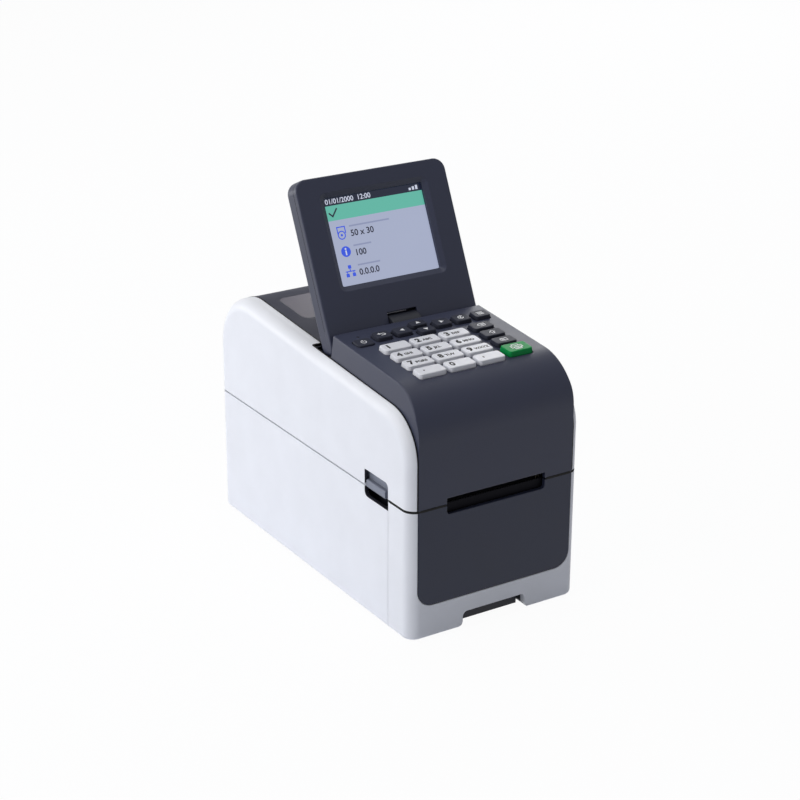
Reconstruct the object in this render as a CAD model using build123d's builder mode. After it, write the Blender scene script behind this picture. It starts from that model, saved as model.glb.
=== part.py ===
"""Desktop label printer with a tilting colour display and a keypad on its top cover.

Millimetres. +X is right seen from the front, +Y runs to the rear and +Z is up.
The origin lies on the table under the middle of the body.
"""

from build123d import *
from math import acos, cos, pi, radians, sin, tan
import os

# Body
body_width = 110.0
body_depth = 211.0
corner_radius = 7.0
bottom_radius = 2.0
wall = 2.5
foot_height = 1.2
foot_radius = 7.0
foot_seat = 0.8
foot_inset_x = 13.0
foot_front_inset = 30.0
foot_rear_inset = 18.0
split_height = 76.8
split_gap = 1.0
fit_gap = 0.3
shadow_gap = 0.7
cut_margin = 1.0
slide_gap = 0.4
running_fit = 0.05
seat_fit = 0.01

# Front bezel, front panel and label slot
bezel_depth = 21.3
seam_gap = 0.2
panel_inset = 5.5
panel_bottom = 20.5
panel_corner = 9.5
panel_thickness = 2.5
ledge_width = 3.0
ledge_thickness = 1.7
slot_side_gap = 2.8
slot_drop = 5.6
slot_rise = 3.9
slot_corner = 2.0
grip_half_width = 20.5
grip_top = 10.5
grip_corner = 3.0
grip_flare = 4.0
tongue_thickness = 2.0
tongue_length = 8.0
tongue_low = 24.0
tongue_high = 58.0

# Side view of the cover: shoulder, console and rear top
front_slope = 4.3
shoulder_height = 127.8
shoulder_arc = 27.0
shoulder_round = 7.0
step_gap = 0.3
rear_arc = 34.0
console_rise = 12.4
console_arc = 27.0
console_inset = 5.5
console_draft = 1.6
console_overlap = 8.0
console_edge = 0.9
console_wall = 4.0

# Rear top panel and smoked window
rear_inset = 11.1
panel_recess = 0.2
rear_panel_bottom = 108.0
window_inset = 19.4
window_length = 32.0
window_rear_gap = 4.1
window_corner = 4.0
window_thickness = 1.6
window_ledge = 2.0
rail_overhang = 1.5
rail_drop = 2.6
rail_height = 2.5

# Cover hinge
hinge_inset = 5.5
hinge_rise = 15.0
hinge_pin_radius = 2.0
lug_half_spacing = 34.0
lug_width = 8.0
lug_depth = 16.0
lug_side_gap = 0.5
lug_top_gap = 1.3
boss_width = 4.0
boss_radius = 4.5

# Display
pivot_inset = 95.7
pivot_z = 138.2
display_lean = 24.9
display_side_gap = 0.9
display_length = 91.5
display_thickness = 12.0
display_corner = 7.0
display_edge = 0.8
back_edge = 2.5
bezel_thickness = 3.5
pocket_gap = 0.7
pocket_length = 11.8
console_gap = 1.2
lcd_view_width = 64.0
lcd_view_height = 49.5
lcd_centre = 54.8
lcd_slope = 3.0
lcd_corner = 1.0
lcd_recess = 1.8
lcd_margin = 4.0
lcd_thickness = 3.2
back_wall = 2.4
display_floor = 15.0
display_pin_radius = 2.0
display_pin_length = 44.0
knuckle_half_width = 9.2
knuckle_radius = 10.8
notch_gap = 0.5
notch_headroom = 0.5

# Keys, placed on the keypad plane: u to the right, v back from the console's rear edge
plate_thickness = 2.5
key_gap = 0.35
key_height = 2.2
key_travel = 1.0
key_taper = 9.0
key_corner = 1.9
key_edge = 0.5
flange_width = 0.75
flange_thickness = 1.2
flange_gap = 0.2
press_room = 0.4
power_key_height = 1.0
print_key_height = 2.8
keypad_inset = 5.75
nav_gap = 2.45
nav_row = -14.0
nav_depth = 8.6
arrow_depth = 6.6
arrow_spread = 9.2
power_drop = 2.0
digit_gap = 1.6
digit_depth = 8.9
digit_pitch_y = 11.2
digit_inset = 8.15
digit_row = -30.0
edit_inset = 5.85
edit_gap = 2.9
edit_row = -27.7
edit_pitch = 10.9
edit_width = 13.8
edit_depth = 8.4
print_row = -61.5
print_width = 15.8
print_depth = 10.6
board_thickness = 1.6
pad_board_inset = 5.0
pad_board_rear = -3.0
pad_board_front = -69.5
pad_post_side = 2.7
pad_post_inset = 3.0
pad_post_radius = 2.0

# Side latch
latch_opening = 23.7
latch_drop = 6.2
latch_rise = 9.6
latch_corner = 3.0
latch_thickness = 3.0
latch_depth = 3.2
tab_rear_gap = 0.9
tab_length = 18.8
tab_drop = 1.1
tab_rise = 3.4
tab_reach = 5.6
tab_edge = 0.8
latch_margin = 3.5
latch_plate_rise = 17.2
latch_shaft_reach = 20.5
latch_shaft_rise = 19.2
latch_shaft_radius = 3.0
latch_hub_radius = 5.5
latch_stub = 1.6
hook_width = 3.0
hook_drop = 9.8
hook_nose = 1.8
hook_nose_height = 2.5
catch_radius = 1.5
catch_gap = 0.5
catch_drop = 5.8

# Print mechanism
frame_inset = 20.5
frame_sheet = 1.5
frame_depth = 63.5
frame_top_gap = 0.8
roller_inset = 15.5
roller_radius = 7.0
roller_side_gap = 2.5
roller_rise = 0.3
shaft_radius = 3.0
bush_radius = 4.6
bush_flange = 5.6
bush_flange_width = 1.0
gear_module = 1.0
gear_width = 5.0
gear_offset = 1.2
gear_backlash = 0.3
pressure_angle = 20.0
tooth_addendum = 0.8
tooth_dedendum = 1.15
roller_teeth = 22
idler_teeth = 26
motor_teeth = 12
idler_angle = -48.0
motor_angle = -50.0
idler_pin_radius = 2.5
motor_shaft_radius = 2.0
motor_side = 35.0
motor_length = 28.0
motor_corner = 4.0
motor_boss_radius = 8.0
motor_boss_height = 1.0
head_gap = 0.5
head_side_gap = 1.5
head_depth = 14.0
head_height = 6.0
head_step = 0.8
bracket_sheet = 1.5
bracket_lip = 1.5
bracket_height = 26.0
tear_sheet = 1.0
tear_drop = 10.8
tear_rise = 0.5
tooth_pitch = 1.6
tooth_depth = 1.0
sensor_rail_inset = 8.0
sensor_rail_drop = 10.8
sensor_rail_radius = 2.0
sensor_width = 12.0
sensor_depth = 12.0
sensor_height = 9.0

# Roll bay and inner chassis
bay_rear_inset = 13.0
bay_front_gap = 5.5
bay_floor = 20.0
bay_wall = 2.5
bay_half_width = 37.0
bay_top_drop = 2.8
deck_bottom = 11.0
deck_thickness = 2.0
deck_overrun = 12.0
chassis_inset = 7.0
chassis_rear_inset = 13.5
shield_inset = 11.0
shield_thickness = 1.5
pocket_wall = 2.0

# Roll guides
guide_half_gap = 26.0
guide_thickness = 3.0
guide_width = 56.0
guide_top = 98.0
guide_corner = 14.0
hub_radius = 12.0
hub_length = 5.0
guide_in = 16.0
guide_out = 5.5
pinion_teeth = 14
rack_low = 9.2
rack_height = 4.5
rack_back = 4.0
rack_lead = 38.0
rack_tail = 1.5
pinion_pin_radius = 2.0

# Main board and rear sockets
board_half_width = 34.0
board_front_gap = 8.0
board_rear_gap = 1.5
board_standoff = 2.5
board_boss_x = 28.0
board_boss_front = 10.0
board_boss_rear = 26.0
board_boss_radius = 3.0
chip_size = 18.0
chip_height = 2.0
cap_radius = 4.0
cap_height = 11.0
socket_wall = 0.9
dc_x = -26.0
dc_size = (10.0, 11.0, 14.0)
dc_bore = 3.2
dc_depth = 9.5
dc_contact = 1.0
usb_x = -6.0
usb_size = (12.2, 11.0, 16.0)
usb_mouth = 9.0
usb_tongue = (5.6, 3.0)
lan_x = 17.0
lan_size = (16.0, 13.5, 18.0)
lan_mouth = 11.0

# Screws
screw_radius = 1.5
screw_head_radius = 2.8
screw_head_height = 1.6
screw_inset = 11.5
screw_end_inset = 45.5
screw_boss_radius = 4.0

os.makedirs("parts", exist_ok=True)

# Places worked out from the sizes above
half_width = body_width / 2
front_y = -body_depth / 2
rear_y = body_depth / 2
slot_bottom = split_height - slot_drop
slot_top = split_height + slot_rise
latch_bottom = split_height - latch_drop
latch_top = split_height + latch_rise
tab_low = split_height - tab_drop
tab_high = split_height + tab_rise
latch_plate_top = split_height + latch_plate_rise
latch_shaft_z = split_height + latch_shaft_rise
hook_low = split_height - hook_drop
catch_z = split_height - catch_drop
tear_low = split_height - tear_drop
sensor_rail_z = split_height - sensor_rail_drop
bay_top = split_height - bay_top_drop
seam_y = front_y + bezel_depth
console_half_width = half_width - console_inset
rear_half_width = half_width - rear_inset
panel_half_width = half_width - panel_inset
window_half_width = half_width - window_inset
display_half_width = console_half_width - display_side_gap
pad_board_width = 2 * (console_half_width - pad_board_inset)
pad_post_u = pad_board_width / 2 - pad_post_side
chassis_half_width = half_width - chassis_inset
shield_half_width = half_width - shield_inset
screw_x = half_width - screw_inset
frame_half_width = half_width - frame_inset
roller_length = 2 * (frame_half_width - roller_side_gap)
slot_half_width = frame_half_width - slot_side_gap
head_half_width = frame_half_width - head_side_gap
bracket_half_width = frame_half_width + bracket_lip
roller_y = front_y + roller_inset
latch_rear_y = seam_y + latch_opening
tab_rear_y = latch_rear_y - tab_rear_gap
latch_shaft_y = latch_rear_y + latch_shaft_reach
frame_rear_y = front_y + frame_depth
sensor_rail_y = frame_rear_y - sensor_rail_inset
shield_rear_y = sensor_rail_y
deck_rear_y = frame_rear_y + deck_overrun
board_front_y = frame_rear_y + board_front_gap
screw_front_y = front_y + screw_end_inset
screw_rear_y = rear_y - screw_end_inset
pivot_y = front_y + pivot_inset
pocket_rear_y = pivot_y + pocket_length
step_y = pocket_rear_y - step_gap
window_front_y = rear_y - rear_arc - window_rear_gap - window_length
chassis_rear_y = rear_y - chassis_rear_inset
bay_rear_y = rear_y - bay_rear_inset
bay_radius = (bay_rear_y - frame_rear_y - bay_front_gap) / 2 - bay_wall
bay_y = bay_rear_y - bay_radius - bay_wall
bay_z = bay_floor + bay_radius
keypad_half_width = console_half_width - keypad_inset
nav_pitch = (2 * keypad_half_width + nav_gap) / 7
nav_width = nav_pitch - nav_gap
digit_block = 2 * keypad_half_width - digit_inset - edit_inset - edit_gap - print_width
digit_pitch_x = (digit_block + digit_gap) / 3
digit_width = digit_pitch_x - digit_gap
digit_column = digit_inset + digit_width / 2 - keypad_half_width
edit_column = keypad_half_width - edit_inset - print_width / 2
case_top = split_height - split_gap / 2
cover_bottom = split_height + split_gap / 2
case_floor = foot_height + wall
inner_half = half_width - wall
opening_half = console_half_width + shadow_gap
rear_opening_half = rear_half_width + shadow_gap
hinge_y = rear_y - hinge_inset
hinge_z = split_height + hinge_rise
console_rear_y = pivot_y - display_thickness / 2 - console_gap
pocket_floor = pivot_z - display_thickness / 2 - pocket_gap
display_seam = display_thickness / 2 - bezel_thickness
latch_x = half_width - latch_depth - latch_thickness
roller_z = case_top + roller_rise - roller_radius
deck_top = deck_bottom + deck_thickness
frame_front_y = front_y + panel_thickness + tear_sheet
board_bottom = case_floor + board_standoff
board_top = board_bottom + board_thickness


def shoulder_z(y):
    """Height of the white shoulder line at y, before its front rounding."""
    return shoulder_height + tan(radians(front_slope)) * (y - front_y)


def console_z(y):
    """Height of the keypad plane at y."""
    return shoulder_z(y) + console_rise


keypad = Plane(
    origin=(0, console_rear_y, console_z(console_rear_y)),
    x_dir=(1, 0, 0),
    z_dir=(0, -sin(radians(front_slope)), cos(radians(front_slope))),
)
screen = Plane(
    origin=(0, pivot_y, pivot_z),
    x_dir=(1, 0, 0),
    z_dir=(0, -cos(radians(display_lean)), sin(radians(display_lean))),
)
screen_side = Plane(origin=screen.origin, x_dir=screen.y_dir, z_dir=(1, 0, 0))


def save(builder, name):
    """Label a finished piece and write it as one STEP file."""
    builder.part.label = name
    export_step(builder.part, f"parts/{name}.step")


def slab(x, y, z, mode=Mode.ADD):
    """Box between a pair of limits on each axis."""
    middle = [(pair[0] + pair[1]) / 2 for pair in (x, y, z)]
    size = [abs(pair[1] - pair[0]) for pair in (x, y, z)]
    with Locations(tuple(middle)):
        Box(*size, mode=mode)


def rod_x(x, y, z, radius, mode=Mode.ADD):
    """Round bar along X between a pair of limits."""
    with Locations(Location(((x[0] + x[1]) / 2, y, z), (0, 90, 0))):
        Cylinder(radius, abs(x[1] - x[0]), mode=mode)


def rod_z(x, y, z, radius, mode=Mode.ADD):
    """Upright round bar between a pair of heights."""
    with Locations((x, y, (z[0] + z[1]) / 2)):
        Cylinder(radius, abs(z[1] - z[0]), mode=mode)


def side_face(points, corner=None, radius=0.0):
    """Side view outline in the current sketch, with one corner rounded."""
    with BuildLine() as outline:
        Polyline(*points, close=True)
    face = make_face(outline.edges())
    if radius:
        fillet(face.vertices().sort_by_distance((*corner, 0))[0], radius)


def front_outline(inset, start_y=None):
    """Shoulder outline of the front of the cover, drawn in by inset."""
    drop = inset / cos(radians(front_slope))
    start = front_y + inset if start_y is None else start_y
    corner = (start, shoulder_z(start) - drop)
    points = [
        (start, cover_bottom),
        corner,
        (step_y, shoulder_z(step_y) - drop),
        (step_y, cover_bottom),
    ]
    return points, corner


def rear_outline(inset, start_y):
    """Outline of the rear of the cover from start_y back, drawn in by inset."""
    drop = inset / cos(radians(front_slope))
    corner = (rear_y - inset, shoulder_z(rear_y - inset) - drop)
    points = [
        (start_y, cover_bottom),
        (start_y, shoulder_z(start_y) - drop),
        corner,
        (rear_y - inset, cover_bottom),
    ]
    return points, corner


def cover_block(outline, radius, half, edge_radius, end_y):
    """Solid of one cover outline with its outer side edges rounded."""
    points, corner = outline
    with BuildPart() as block:
        with BuildSketch(Plane.YZ):
            side_face(points, corner, radius)
        extrude(amount=half, both=True)
        rim = []
        for face in block.faces().filter_by(Axis.X):
            for edge in face.edges():
                middle = edge.center()
                if middle.Z > cover_bottom + edge_radius and abs(middle.Y - end_y) > edge_radius:
                    rim.append(edge)
        fillet(rim, edge_radius)
    return block.part


def case_block():
    """Outer solid of the lower case with rounded corners and bottom edge."""
    with BuildPart() as block:
        with BuildSketch(Plane.XY.offset(foot_height)):
            RectangleRounded(body_width, body_depth, corner_radius)
        extrude(amount=case_top - foot_height)
        fillet(block.faces().sort_by(Axis.Z)[0].edges(), bottom_radius)
    return block.part


# Lower case: a tub with hinge lugs, bosses, socket cut-outs and the lower half of the latch windows
seam_plane = Plane(origin=(0, seam_y, 0), z_dir=(0, 1, 0))
case_outer = case_block()
sockets = {
    "dc": (dc_x, dc_size),
    "usb": (usb_x, usb_size),
    "lan": (lan_x, lan_size),
}
feet_places = [
    (side * (half_width - foot_inset_x), y)
    for side in (-1, 1)
    for y in (front_y + foot_front_inset, rear_y - foot_rear_inset)
]
screw_places = [(side * screw_x, y) for side in (-1, 1) for y in (screw_front_y, screw_rear_y)]
board_places = [
    (side * board_boss_x, y)
    for side in (-1, 1)
    for y in (board_front_y + board_boss_front, rear_y - board_boss_rear)
]

with BuildPart() as lower_case:
    add(case_outer)
    with BuildSketch(Plane.XY.offset(case_floor)):
        RectangleRounded(body_width - 2 * wall, body_depth - 2 * wall, corner_radius - wall)
    extrude(amount=split_height, mode=Mode.SUBTRACT)
    split(bisect_by=seam_plane, keep=Keep.TOP)
    for side in (-1, 1):
        lug_x = (
            side * (lug_half_spacing - lug_width / 2),
            side * (lug_half_spacing + lug_width / 2),
        )
        slab(lug_x, (hinge_y - hinge_inset, rear_y), (case_top - lug_depth, hinge_z))
        rod_x(lug_x, hinge_y, hinge_z, hinge_inset)
        rod_x(lug_x, hinge_y, hinge_z, hinge_pin_radius + running_fit, Mode.SUBTRACT)
    for x, y in screw_places:
        rod_z(x, y, (case_floor, deck_bottom), screw_boss_radius)
        rod_z(x, y, (foot_height, deck_bottom), screw_radius + fit_gap, Mode.SUBTRACT)
        rod_z(
            x,
            y,
            (foot_height, foot_height + screw_head_height),
            screw_head_radius + fit_gap,
            Mode.SUBTRACT,
        )
    for x, y in board_places:
        rod_z(x, y, (case_floor, board_bottom), board_boss_radius)
    for x, y in feet_places:
        rod_z(x, y, (foot_height, foot_height + foot_seat), foot_radius + fit_gap, Mode.SUBTRACT)
    for x, (width, height, depth) in sockets.values():
        slab(
            (x - width / 2 - slide_gap, x + width / 2 + slide_gap),
            (rear_y - wall - cut_margin, rear_y + cut_margin),
            (board_top - slide_gap, board_top + height + slide_gap),
            Mode.SUBTRACT,
        )
    with BuildSketch(Plane.YZ):
        side_face(
            [
                (seam_y - cut_margin, latch_bottom),
                (latch_rear_y, latch_bottom),
                (latch_rear_y, split_height),
                (seam_y - cut_margin, split_height),
            ],
            (latch_rear_y, latch_bottom),
            latch_corner,
        )
    extrude(amount=half_width, both=True, mode=Mode.SUBTRACT)
save(lower_case, "lower_case")

# Front bezel: the white frame round the front panel, with the grip notch under it
bezel_wall = panel_thickness + ledge_thickness
with BuildPart() as front_bezel:
    add(case_outer)
    split(bisect_by=seam_plane.offset(-seam_gap), keep=Keep.BOTTOM)
    slab(
        (-inner_half, inner_half),
        (front_y + bezel_wall, seam_y + cut_margin),
        (case_floor, split_height),
        Mode.SUBTRACT,
    )
    panel_rebate = Plane(origin=(0, front_y + panel_thickness, 0), x_dir=(1, 0, 0), z_dir=(0, -1, 0))
    for grow, depth, plane in (
        (fit_gap, panel_thickness, panel_rebate),
        (-ledge_width, bezel_wall, panel_rebate.offset(-ledge_thickness)),
    ):
        low = panel_bottom - grow
        tall = case_top + panel_corner - low + panel_corner
        with BuildSketch(plane):
            with Locations((0, low + tall / 2)):
                RectangleRounded(2 * (panel_half_width + grow), tall, panel_corner + grow)
        extrude(amount=depth, mode=Mode.SUBTRACT)
    with BuildSketch(Plane(origin=(0, front_y, 0), x_dir=(1, 0, 0), z_dir=(0, -1, 0))):
        with Locations((0, 0)):
            RectangleRounded(2 * grip_half_width, 2 * grip_top, grip_corner)
        for side in (-1, 1):
            with Locations((side * (grip_half_width + grip_flare / 2), foot_height + grip_flare / 2)):
                Rectangle(grip_flare, grip_flare)
            with Locations((side * (grip_half_width + grip_flare), foot_height + grip_flare)):
                Circle(grip_flare, mode=Mode.SUBTRACT)
    extrude(amount=-(bezel_depth + cut_margin), mode=Mode.SUBTRACT)
    for side in (-1, 1):
        slab(
            (side * (inner_half - tongue_thickness), side * (inner_half + wall / 2)),
            (seam_y - seam_gap - tongue_length, seam_y - seam_gap),
            (tongue_low, tongue_high),
        )
        slab(
            (side * (inner_half - tongue_thickness), side * (inner_half - seam_gap)),
            (seam_y - seam_gap, seam_y + tongue_length),
            (tongue_low, tongue_high),
        )
save(front_bezel, "front_bezel")

# Front panel: dark plate with the lower half of the label slot
with BuildPart() as front_panel:
    tall = case_top + panel_corner - panel_bottom + panel_corner
    with BuildSketch(Plane(origin=(0, front_y + panel_thickness, 0), x_dir=(1, 0, 0), z_dir=(0, -1, 0))):
        with Locations((0, panel_bottom + tall / 2)):
            RectangleRounded(2 * panel_half_width, tall, panel_corner)
    extrude(amount=panel_thickness)
    slab(
        (-half_width, half_width),
        (front_y - cut_margin, front_y + bezel_wall),
        (case_top, case_top + 2 * panel_corner + cut_margin),
        Mode.SUBTRACT,
    )
    slot_tall = 2 * (case_top - slot_bottom)
    with BuildSketch(Plane(origin=(0, front_y - cut_margin, 0), x_dir=(1, 0, 0), z_dir=(0, -1, 0))):
        with Locations((0, case_top)):
            RectangleRounded(2 * slot_half_width, slot_tall, slot_corner)
    extrude(amount=-(panel_thickness + 2), mode=Mode.SUBTRACT)
save(front_panel, "front_panel")

# Tear bar: steel strip behind the slot with a row of teeth along its top
tear_top = split_height + tear_rise
with BuildPart() as tear_bar:
    with BuildSketch(
        Plane(origin=(0, front_y + panel_thickness + tear_sheet, 0), x_dir=(1, 0, 0), z_dir=(0, -1, 0))
    ):
        count = int(2 * slot_half_width / tooth_pitch)
        edge_x = count * tooth_pitch / 2
        bar_half = frame_half_width + frame_sheet
        root_z = tear_top - tooth_depth
        points = [(bar_half, tear_low), (bar_half, root_z)]
        for index in range(count):
            right = edge_x - index * tooth_pitch
            points += [(right, root_z), (right - tooth_pitch / 2, tear_top)]
        points += [(-edge_x, root_z), (-bar_half, root_z), (-bar_half, tear_low)]
        with BuildLine():
            Polyline(*points, close=True)
        make_face()
    extrude(amount=tear_sheet)
save(tear_bar, "tear_bar")

# Feet and bottom screws
with BuildPart() as rubber_feet:
    for x, y in feet_places:
        rod_z(x, y, (0, foot_height + foot_seat), foot_radius)
    chamfer(rubber_feet.edges().group_by(Axis.Z)[0], foot_height / 3)
save(rubber_feet, "rubber_feet")

with BuildPart() as base_screws:
    for x, y in screw_places:
        rod_z(x, y, (foot_height, foot_height + screw_head_height), screw_head_radius)
        rod_z(x, y, (foot_height, deck_top), screw_radius)
save(base_screws, "base_screws")

# Media tray: the dark inner chassis with the round roll bay, the front deck and the side shields
rack_side = pinion_teeth * gear_module / 2
rack_root = tooth_dedendum * gear_module
slot_low = rack_side + rack_root - slide_gap
slot_high = rack_side + rack_root + rack_back + slide_gap
with BuildPart() as media_tray:
    with BuildSketch(Plane.YZ):
        with Locations((bay_y, bay_z)):
            Circle(bay_radius + bay_wall)
        with Locations((bay_y, bay_top - body_depth / 2)):
            Rectangle(body_depth, body_depth, mode=Mode.INTERSECT)
    extrude(amount=bay_half_width + bay_wall, both=True)
    with BuildSketch(Plane.YZ):
        with Locations((bay_y, bay_z)):
            Circle(bay_radius)
    extrude(amount=bay_half_width, both=True, mode=Mode.SUBTRACT)
    for side in (-1, 1):
        skirt_x = (side * bay_half_width, side * (bay_half_width + bay_wall))
        slab(skirt_x, (deck_rear_y, chassis_rear_y), (deck_bottom, bay_z - bay_radius))
        slab(
            (side * bay_half_width, side * chassis_half_width),
            (front_y + bezel_wall, chassis_rear_y),
            (deck_bottom, deck_top),
        )
        shield_x = (side * shield_half_width, side * (shield_half_width + shield_thickness))
        slab(shield_x, (front_y + bezel_wall, shield_rear_y), (deck_bottom, bay_top))
        catch_y = seam_y - latch_margin + hook_nose + catch_gap + catch_radius
        rod_x(
            (side * shield_half_width, side * (latch_x + latch_thickness - fit_gap)),
            catch_y,
            catch_z,
            catch_radius,
        )
        slab(
            (side * (grip_half_width + seam_gap), side * (grip_half_width + seam_gap + pocket_wall)),
            (front_y + bezel_wall, seam_y + pocket_wall),
            (case_floor, deck_bottom),
        )
    slab((-bay_half_width, bay_half_width), (front_y + bezel_wall, deck_rear_y), (deck_bottom, deck_top))
    slab(
        (-grip_half_width - pocket_wall, grip_half_width + pocket_wall),
        (seam_y + seam_gap, seam_y + pocket_wall),
        (case_floor, deck_bottom),
    )
    for x, y in screw_places:
        rod_z(x, y, (deck_bottom, deck_top), screw_radius + seat_fit, Mode.SUBTRACT)
    for side in (-1, 1):
        outer = guide_half_gap + guide_thickness + guide_out + slide_gap
        inner = guide_half_gap - guide_in - slide_gap
        slab(
            (side * inner, side * outer),
            (bay_y + side * slot_low, bay_y + side * slot_high),
            (rack_low, bay_z),
            Mode.SUBTRACT,
        )
    rod_z(0, bay_y, (rack_low, bay_z - bay_radius - bay_wall / 2), pinion_pin_radius)
save(media_tray, "media_tray")


def gear_face(teeth, turn, middle_point, bore=0.0):
    """Involute gear in the current sketch, with a tooth centred at turn degrees."""
    pitch_radius = teeth * gear_module / 2
    base = pitch_radius * cos(radians(pressure_angle))
    tip = pitch_radius + tooth_addendum * gear_module
    root = pitch_radius - tooth_dedendum * gear_module
    start = max(base, root)
    pitch = 2 * pi / teeth

    def half_angle(radius):
        """Half the angle that a tooth spans at a radius."""
        slope = acos(min(1.0, base / radius))
        rolled = tan(radians(pressure_angle)) - radians(pressure_angle) - (tan(slope) - slope)
        return (pi * gear_module / 2 - gear_backlash) / (2 * pitch_radius) + rolled

    def point(radius, angle):
        return (middle_point[0] + radius * cos(angle), middle_point[1] + radius * sin(angle))

    middle = (start + tip) / 2
    with BuildLine() as outline:
        for index in range(teeth):
            centre = radians(turn) + index * pitch
            foot = half_angle(start)
            for side in (-1, 1):
                flank = [point(r, centre + side * half_angle(r)) for r in (start, middle, tip)]
                ThreePointArc(*flank)
                if root < start:
                    Line(point(root, centre + side * foot), flank[0])
            crown = half_angle(tip)
            ThreePointArc(*[point(tip, centre + shift) for shift in (-crown, 0, crown)])
            gap = [centre + foot, centre + pitch / 2, centre + pitch - foot]
            ThreePointArc(*[point(root, angle) for angle in gap])
    make_face(outline.edges())
    if bore:
        with Locations(middle_point):
            Circle(bore, mode=Mode.SUBTRACT)


def meshed_turn(turn, teeth, heading, other_teeth):
    """Turn of a second gear whose gap meets a tooth of the first one towards heading."""
    step = 360 / teeth
    share = ((heading - turn) % step) / step
    other_step = 360 / other_teeth
    return heading + 180 + share * other_step + other_step / 2


def pitch_reach(teeth, other_teeth):
    """Distance between the centres of two gears in mesh."""
    return gear_module * (teeth + other_teeth) / 2


# Drive train: motor pinion, idler and roller gear, left of the mechanism frame
idler_reach = pitch_reach(roller_teeth, idler_teeth)
idler_y = roller_y + idler_reach * cos(radians(idler_angle))
idler_z = roller_z + idler_reach * sin(radians(idler_angle))
motor_reach = pitch_reach(idler_teeth, motor_teeth)
motor_y = idler_y + motor_reach * cos(radians(motor_angle))
motor_z = idler_z + motor_reach * sin(radians(motor_angle))
idler_turn = meshed_turn(idler_angle, roller_teeth, idler_angle, idler_teeth)
motor_turn = meshed_turn(idler_turn, idler_teeth, motor_angle, motor_teeth)
plate_outer = frame_half_width + frame_sheet
gear_x = -(plate_outer + gear_offset + gear_width)

with BuildPart() as mech_frame:
    frame_top = case_top - frame_top_gap
    for side in (-1, 1):
        slab(
            (side * frame_half_width, side * plate_outer),
            (frame_front_y, frame_rear_y),
            (deck_top, frame_top),
        )
    slab(
        (-plate_outer, plate_outer),
        (frame_front_y, front_y + bezel_wall + fit_gap),
        (deck_top, panel_bottom + ledge_width + fit_gap),
        Mode.SUBTRACT,
    )
    slab((-plate_outer, plate_outer), (seam_y, frame_rear_y), (deck_top, deck_top + frame_sheet))
    rod_x((-plate_outer, plate_outer), roller_y, roller_z, bush_radius + seat_fit, Mode.SUBTRACT)
    rod_x((-plate_outer, 0), motor_y, motor_z, motor_boss_radius + fit_gap, Mode.SUBTRACT)
    rod_x((-frame_half_width, frame_half_width), sensor_rail_y, sensor_rail_z, sensor_rail_radius)
    rod_x((gear_x, -frame_half_width), idler_y, idler_z, idler_pin_radius)
save(mech_frame, "mech_frame")

with BuildPart() as drive_motor:
    with BuildSketch(Plane.YZ.offset(-frame_half_width)):
        with Locations((motor_y, motor_z)):
            RectangleRounded(motor_side, motor_side, motor_corner)
    extrude(amount=motor_length)
    rod_x(
        (-frame_half_width - motor_boss_height, -frame_half_width),
        motor_y,
        motor_z,
        motor_boss_radius,
    )
    rod_x(
        (-plate_outer, motor_length - frame_half_width - wall),
        motor_y,
        motor_z,
        motor_shaft_radius + running_fit,
        Mode.SUBTRACT,
    )
save(drive_motor, "drive_motor")

with BuildPart() as motor_pinion:
    with BuildSketch(Plane.YZ.offset(gear_x)):
        gear_face(motor_teeth, motor_turn, (motor_y, motor_z))
    extrude(amount=gear_width)
    rod_x(
        (gear_x, motor_length - frame_half_width - wall - slide_gap),
        motor_y,
        motor_z,
        motor_shaft_radius,
    )
save(motor_pinion, "motor_pinion")

with BuildPart() as idler_gear:
    with BuildSketch(Plane.YZ.offset(gear_x)):
        gear_face(idler_teeth, idler_turn, (idler_y, idler_z), idler_pin_radius + running_fit)
    extrude(amount=gear_width)
save(idler_gear, "idler_gear")

with BuildPart() as platen_gear:
    with BuildSketch(Plane.YZ.offset(gear_x)):
        gear_face(roller_teeth, idler_angle, (roller_y, roller_z), shaft_radius + seat_fit)
    extrude(amount=gear_width)
save(platen_gear, "platen_gear")

with BuildPart() as platen_shaft:
    rod_x((gear_x, plate_outer + gear_offset), roller_y, roller_z, shaft_radius)
save(platen_shaft, "platen_shaft")

with BuildPart() as platen_roller:
    with BuildSketch(Plane.YZ.offset(-roller_length / 2)):
        with Locations((roller_y, roller_z)):
            Circle(roller_radius)
            Circle(shaft_radius + seat_fit, mode=Mode.SUBTRACT)
    extrude(amount=roller_length)
save(platen_roller, "platen_roller")

with BuildPart() as platen_bushes:
    for side in (-1, 1):
        inside = side * (frame_half_width - bush_flange_width)
        rod_x((inside, side * plate_outer), roller_y, roller_z, bush_radius)
        rod_x((inside, side * frame_half_width), roller_y, roller_z, bush_flange)
    rod_x((-half_width, half_width), roller_y, roller_z, shaft_radius + running_fit, Mode.SUBTRACT)
save(platen_bushes, "platen_bushes")

with BuildPart() as media_sensor:
    slab(
        (-sensor_width / 2, sensor_width / 2),
        (sensor_rail_y - sensor_depth / 2, sensor_rail_y + sensor_depth / 2),
        (sensor_rail_z - sensor_height / 2, sensor_rail_z + sensor_height / 2),
    )
    chamfer(media_sensor.edges().filter_by(Axis.X).group_by(Axis.Z)[-1], sensor_height / 6)
    rod_x(
        (-sensor_width, sensor_width),
        sensor_rail_y,
        sensor_rail_z,
        sensor_rail_radius + running_fit,
        Mode.SUBTRACT,
    )
save(media_sensor, "media_sensor")

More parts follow.
